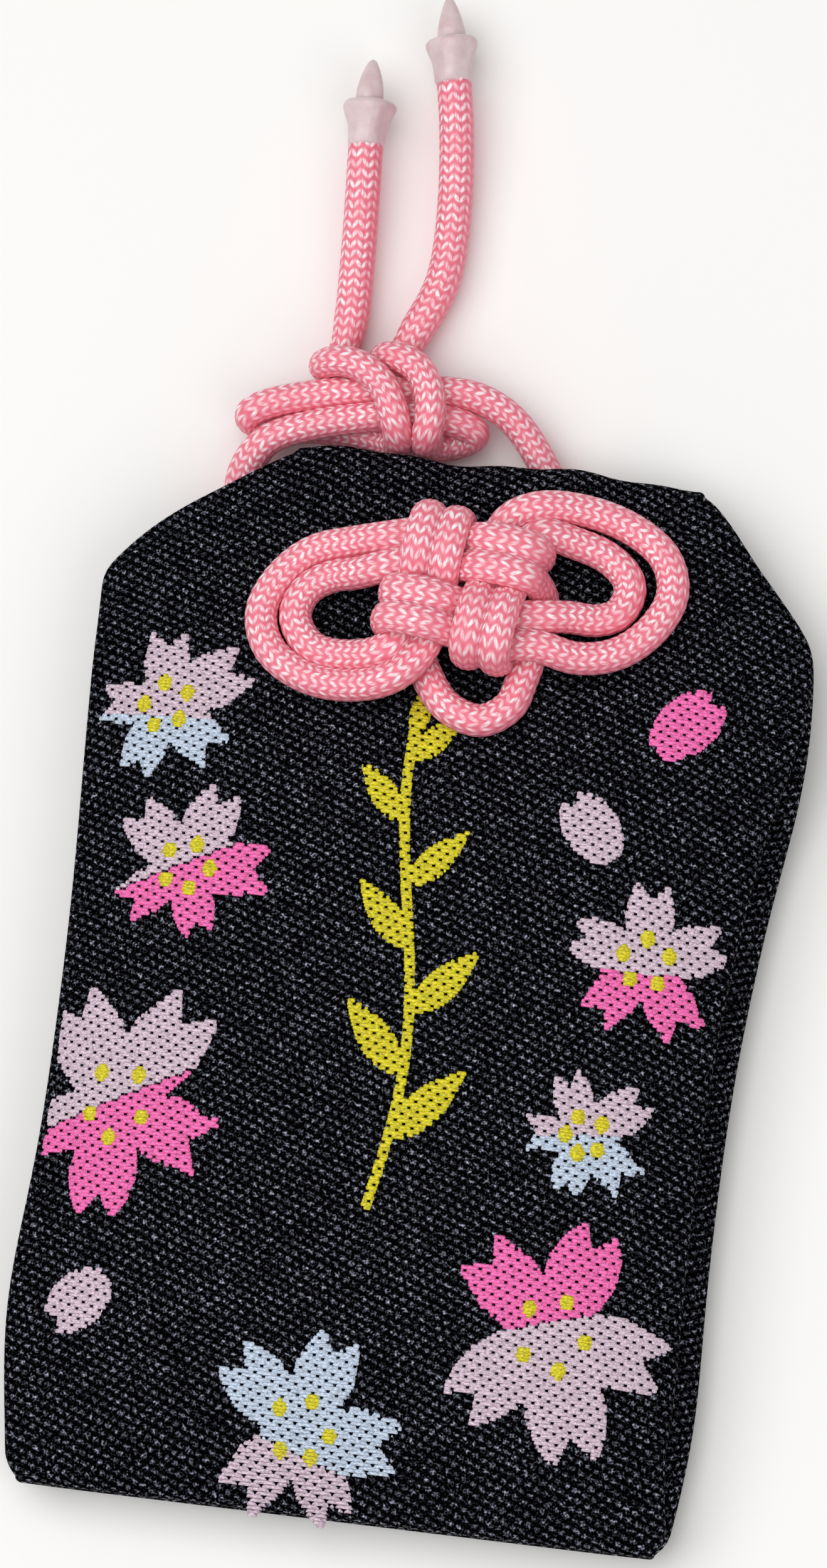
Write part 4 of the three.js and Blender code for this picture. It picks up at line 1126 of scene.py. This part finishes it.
def past_mouth(points):
    return np.array(points) + [0, MOUTH_Y, 0]


def hitch_section(centres):
    past = centres[:, 1] - MOUTH_Y
    tight = smoothstep(past, *HITCH_FROM) * (1 - smoothstep(past, *HITCH_TO))
    diameter = lerp(CORD_DIAMETER, HITCH_DIAMETER, tight)
    return diameter, diameter


for side, points in (("left", left_strand), ("right", right_strand)):
    piece, line = braided_cord(f"{side}_strand_cord", past_mouth(points), hitch_section, braid)
    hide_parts(f"{side}_strand")
    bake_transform(piece)

# %% [markdown]
# The last of each tail is melted, so that the braid doesn't open: it shrinks into a flared sleeve
# and a drawn-out tip. Melted polyester is whitish and cloudy. A glass shader would be too clear
# for it, so it is a gloss surface with clouds of two tints, and light goes a little way in.

# %% Melted polyester
def sealed_material():
    """Polyester that was melted and set: whitish, cloudy and glossy, with soft dents."""
    material, tree, shader = blank_material("melted_polyester")
    where = add(tree, "ShaderNodeTexCoord")
    cloudy = {"Vector": where.outputs["Object"], "Scale": 0.9 / MM, "Detail": 3.0}
    cloud = add(tree, noise_kind, cloudy)
    depth = add(tree, range_kind, {"Value": cloud, "From Min": 0.05, "From Max": 1.1})
    tints = {"Factor": depth, 6: linear("#e6d9da"), 7: linear("#c49ba1")}
    tint = add(tree, mix_kind, tints, data_type="RGBA")
    tree.links.new(tint.outputs[2], shader.inputs["Base Color"])
    bump = add(tree, "ShaderNodeBump", {"Height": cloud, "Strength": 0.3, "Distance": 0.2 * MM})
    tree.links.new(bump.outputs[0], shader.inputs["Normal"])
    shader.inputs["Roughness"].default_value = 0.3
    shader.inputs["Subsurface Weight"].default_value = 0.15
    shader.inputs["Subsurface Radius"].default_value = (0.8 * MM, 0.4 * MM, 0.4 * MM)
    shader.inputs["Subsurface Scale"].default_value = 1.0
    return material


sealed = sealed_material()
print("sealed ends:", sealed.name)

# %% [markdown]
# Both shapes are round, so each is a profile of radius and distance that is turned round the end
# of the tail. A Screw modifier would turn it evenly. Here the radius wavers a little on the way
# round, because such an end is rolled between the fingers while it is soft. The seeds are fixed.

# %% Sealed ends
SLEEVE_PROFILE = [
    (1.18, 0.0), (1.32, 0.15), (1.4, 0.9), (1.55, 1.8),
    (1.82, 2.6), (1.86, 3.0), (1.6, 3.3), (0.6, 3.35),
]
TIP_PROFILE = [
    (1.0, 0.0), (1.02, 0.4), (0.95, 1.0), (0.72, 1.9), (0.42, 2.7), (0.22, 3.05), (0.03, 3.15),
]
TURN_SIDES, TURN_STEP, SLOW_WAVER, QUICK_WAVER = 28, 0.15, 0.04, 0.03


def turned(name, profile, start, along, seed):
    """A turned solid with a wavering radius, from a profile of (radius, distance along)."""
    wave = np.random.default_rng(seed).uniform(0, 2 * np.pi, 3)
    along = np.array(along)
    side = np.cross(along, [0, 0, 1.0])
    up = np.cross(side, along)
    angle = np.linspace(0, 2 * np.pi, TURN_SIDES, endpoint=False)
    fine = smooth_route([(r, d, 0) for r, d in profile], TURN_STEP)[:, :2]
    points = []
    for radius, distance in fine:
        slow = SLOW_WAVER * np.sin(2 * angle + wave[0] + distance)
        waver = 1 + slow + QUICK_WAVER * np.sin(5 * angle + wave[1])
        spoke = np.cos(angle)[:, None] * side + np.sin(angle)[:, None] * up
        points.append(np.array(start) + along * distance + spoke * (radius * waver)[:, None])
    index = np.arange(len(fine) * TURN_SIDES).reshape(len(fine), TURN_SIDES)
    after = np.roll(index, -1, axis=1)
    quads = np.stack([index[:-1], index[1:], after[1:], after[:-1]], -1).reshape(-1, 4)
    caps = [index[0].tolist(), index[-1, ::-1].tolist()]
    return mesh_piece(name, np.concatenate(points), quads.tolist() + caps, sealed)


# %% [markdown]
# A tail is a length of cord with its sleeve and tip, and the sealed end simply rides on the tail.

# %% Tails
SLEEVE_LENGTH, TIP_GAP = 3.2, 0.15
TIP_SEED = 5

for seed, (side, points) in enumerate((("left", left_tail), ("right", right_tail))):
    route = past_mouth(points)
    along = (route[-1] - route[-2]) * [1, 1, 0]
    along = along / np.linalg.norm(along)
    cord_end = route[-1] + along * SOLID_CORD / 2
    body = f"{side}_tail"
    sleeve_start, tip_start = cord_end - along * SLEEVE_LENGTH, cord_end + along * TIP_GAP
    sleeve = turned(f"{side}_sealed_sleeve", SLEEVE_PROFILE, sleeve_start, along, seed)
    tip = turned(f"{side}_sealed_tip", TIP_PROFILE, tip_start, along, seed + TIP_SEED)
    for piece, node in ((sleeve, f"{side}_end_sleeve"), (tip, f"{side}_end_tip")):
        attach(piece, body)
        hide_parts(node)
    piece, line = braided_cord(f"{side}_tail_braid", route, hitch_section, braid)
    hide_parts(f"{side}_tail_cord")
    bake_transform(piece)

# %% [markdown]
# Where the cord goes through the cloth it is a short straight length. A real cord would slide
# through its hole when the knot is pulled off the face.

# %% Cord through the cloth
THROUGH_START = 2.8
for name, (x, y) in zip(("left_through_cord", "right_through_cord"), CORD_HOLES):
    top = float(face_at(x, y))
    points = [(x, y, lerp(THROUGH_START, top + LEVEL_BACK, share)) for share in (0, 0.5, 1)]
    piece, line = braided_cord(name + "_braid", points, hitch_section, braid)
    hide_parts(name)
    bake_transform(piece)
    print(piece.name, round(float(distances_along(line)[-1]), 1), "mm")

# %% [markdown]
# ## Side folds and linings
# The side folds are the seam allowance pushed into the groove between the panels, a V that opens
# outwards. They could be part of a panel's own sheet. They are sheets of their own, as the solids
# are, so that each can be taken off.

# %% Side folds
GUSSET_SETBACK, GUSSET_FOLD_DEPTH, GUSSET_BOTTOM = 0.9, 2.2, 5.0

for side, name in ((-1, "left"), (1, "right")):
    fold, up = np.meshgrid(np.linspace(0, 1, 13), np.linspace(GUSSET_BOTTOM, GUSSET_TOP, 80))
    left, right = (lerp(back, face, fold) for back, face in zip(edges(up), face_edges(up)))
    setback = GUSSET_SETBACK + GUSSET_FOLD_DEPTH * np.sin(np.pi * fold) ** 1.5
    x = left + setback if side < 0 else right - setback
    low = back_rim(up) + FABRIC + CLEARANCE
    side_height = lerp(FACE_SEAM_HEIGHT, FRONT_RIM_HEIGHT, swell(up, BOTTOM_SWELL, 2.5))
    z = lerp(low, side_height - FABRIC - CLEARANCE, fold)
    points = np.stack([x, up - POUCH_HEIGHT / 2, z], -1)
    pattern = np.stack([setback + z, up], -1)
    if side < 0:
        points, pattern = points[:, ::-1], pattern[:, ::-1]
    piece = cloth(f"{name}_side_fold", points, pattern, CLOTH_THICKNESS, brocade)
    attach(piece, "pouch")
    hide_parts(f"{name}_gusset")
    length = (GUSSET_TOP - GUSSET_BOTTOM) * MM
    print(piece.name, len(piece.data.polygons), "faces")

# %% [markdown]
# Inside each panel is a lining of thin brown cloth. The tied mouth hides it, so it has the weave of
# the satin with two tones that lie close together, and follows the rule of its panel a little
# further in.

# %% Linings
LINING_SHARE, LINING_DEPTH, LINING_BOTTOM, LINING_TOP = 0.78, 0.8, 6.0, 71.0
LINING_THICKNESS = 0.2
# Its lighter tone fills the specks where the satin paints its glints, so it is a faint painted
# highlight.
lining_cloth = satin_material("plain_lining", "#2a2422", "#3a322f")

for name, height, sign in (("front_lining", face_height, -1), ("back_lining", back_height, 1)):
    across, up = np.meshgrid(
        np.linspace(-LINING_SHARE, LINING_SHARE, 40), np.linspace(LINING_BOTTOM, LINING_TOP, 60)
    )
    x, y = place(across, up)
    points = np.stack([x, y, height(across, up) + sign * LINING_DEPTH], -1)
    pattern = np.stack([x, up], -1)
    if sign > 0:
        points, pattern = points[:, ::-1], pattern[:, ::-1]
    piece = cloth(name + "_cloth", points, pattern, LINING_THICKNESS, lining_cloth, CORD_HOLES)
    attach(piece, "pouch")
    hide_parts(name)
    flat = (LINING_SHARE * SHOULDER_WIDTH * MM, (LINING_TOP - LINING_BOTTOM) * MM)
    print(piece.name, len(piece.data.polygons), "faces")

# %% [markdown]
# ## Inside the pouch
# The card stiffens the pouch, and the wrapped tablet is what it is sewn for. They are flat cuts
# with plain edges, so the solids serve as they are, and a copy would add nothing. They take a
# fibrous surface: grain that runs up the wood, and short fibres in the paper and the card.

# %% Wood and paper
def fibre_material(name, pale, dark, fibres_per_mm):
    """Sawn wood, pressed card and paper: matte, pale and dark fibres lying one way or all ways."""
    material, tree, shader = blank_material(name)
    where = add(tree, "ShaderNodeTexCoord")
    scale = [count / MM for count in fibres_per_mm]
    stretched = add(tree, "ShaderNodeMapping", {"Vector": where.outputs["Object"], "Scale": scale})
    fibre = add(tree, noise_kind, {"Vector": stretched, "Scale": 1.0, "Detail": 5.0})
    tint = add(tree, mix_kind, {"Factor": fibre, 6: linear(pale), 7: linear(dark)}, data_type="RGBA")
    tree.links.new(tint.outputs[2], shader.inputs["Base Color"])
    bump = add(tree, "ShaderNodeBump", {"Height": fibre, "Strength": 0.2, "Distance": 0.05 * MM})
    tree.links.new(bump.outputs[0], shader.inputs["Normal"])
    shader.inputs["Roughness"].default_value = 0.75
    return material


card_board = fibre_material("card_board", "#dcc7a2", "#c4ac84", (2.0, 2.0, 2.0))
cypress = fibre_material("cypress", "#e4cda4", "#cfae7c", (2.2, 0.12, 2.2))
white_paper = fibre_material("white_paper", "#f6f2e8", "#e6dfd0", (3.0, 1.2, 3.0))
for name, material in (
    ("stiffener_card", card_board),
    ("prayer_tablet", cypress),
    ("prayer_slip", white_paper),
    ("tablet_wrapper", white_paper),
):
    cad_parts[name].material_slots[0].material = material
    print(name, "is", material.name)

# %% [markdown]
# ## Floor and light
# A pale, matte table under a large soft lamp, with a weaker one from the other side, as by a
# window in a bright room. A small lamp or a picture of a sky would give harder or coloured light.
# The lamps and the even world light add up to about the level at which a colour looks as written.

# %% Floor and light
FLOOR_HALF, FLOOR_GAP, SKY_STRENGTH = 2.0, 0.2, 0.335
corners = [(x * FLOOR_HALF, y * FLOOR_HALF, 0) for x, y in ((-1, -1), (1, -1), (1, 1), (-1, 1))]
floor_mesh = bpy.data.meshes.new("floor")
floor_mesh.from_pydata(corners, [], [(0, 1, 2, 3)])
floor = linked("floor", floor_mesh)
floor.location.z = -FLOOR_GAP * MM
# A painted table top, matte: nearly white, and even enough to keep a soft shadow.
table_top, _, shader = blank_material("table_top")
shader.inputs["Base Color"].default_value = linear("#f6f5f3")
shader.inputs["Roughness"].default_value = 0.8
floor_mesh.materials.append(table_top)
floor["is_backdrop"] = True

for name, place_m, size, watts in (
    ("key_lamp", (-0.22, 0.0, 0.6), 0.8, 3.75),
    ("fill_lamp", (0.4, -0.3, 0.5), 0.5, 1.2),
):
    lamp = linked(name, bpy.data.lights.new(name, "AREA"))
    lamp.location = place_m
    lamp.rotation_euler = (-Vector(place_m)).to_track_quat("-Z", "Y").to_euler()
    lamp.data.size = size
    lamp.data.energy = watts
    print(name, watts, "W")
world = bpy.data.worlds.new("studio")
bpy.context.scene.world = world
world.use_nodes = True
sky = world.node_tree.nodes["Background"]
sky.inputs["Color"].default_value = (1, 1, 1, 1)
sky.inputs["Strength"].default_value = SKY_STRENGTH
bpy.context.scene.view_settings.view_transform = "Standard"

# %% [markdown]
# The dressed charm should be as large as its solids, apart from the softness of cloth and cord.
# The two boxes are measured and kept.

visual_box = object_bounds()
apart = np.abs(np.array([list(v) for v in visual_box]) - np.array([list(v) for v in cad_box])) / MM
print("boxes differ by", round(float(apart.max()), 2), "mm at most")
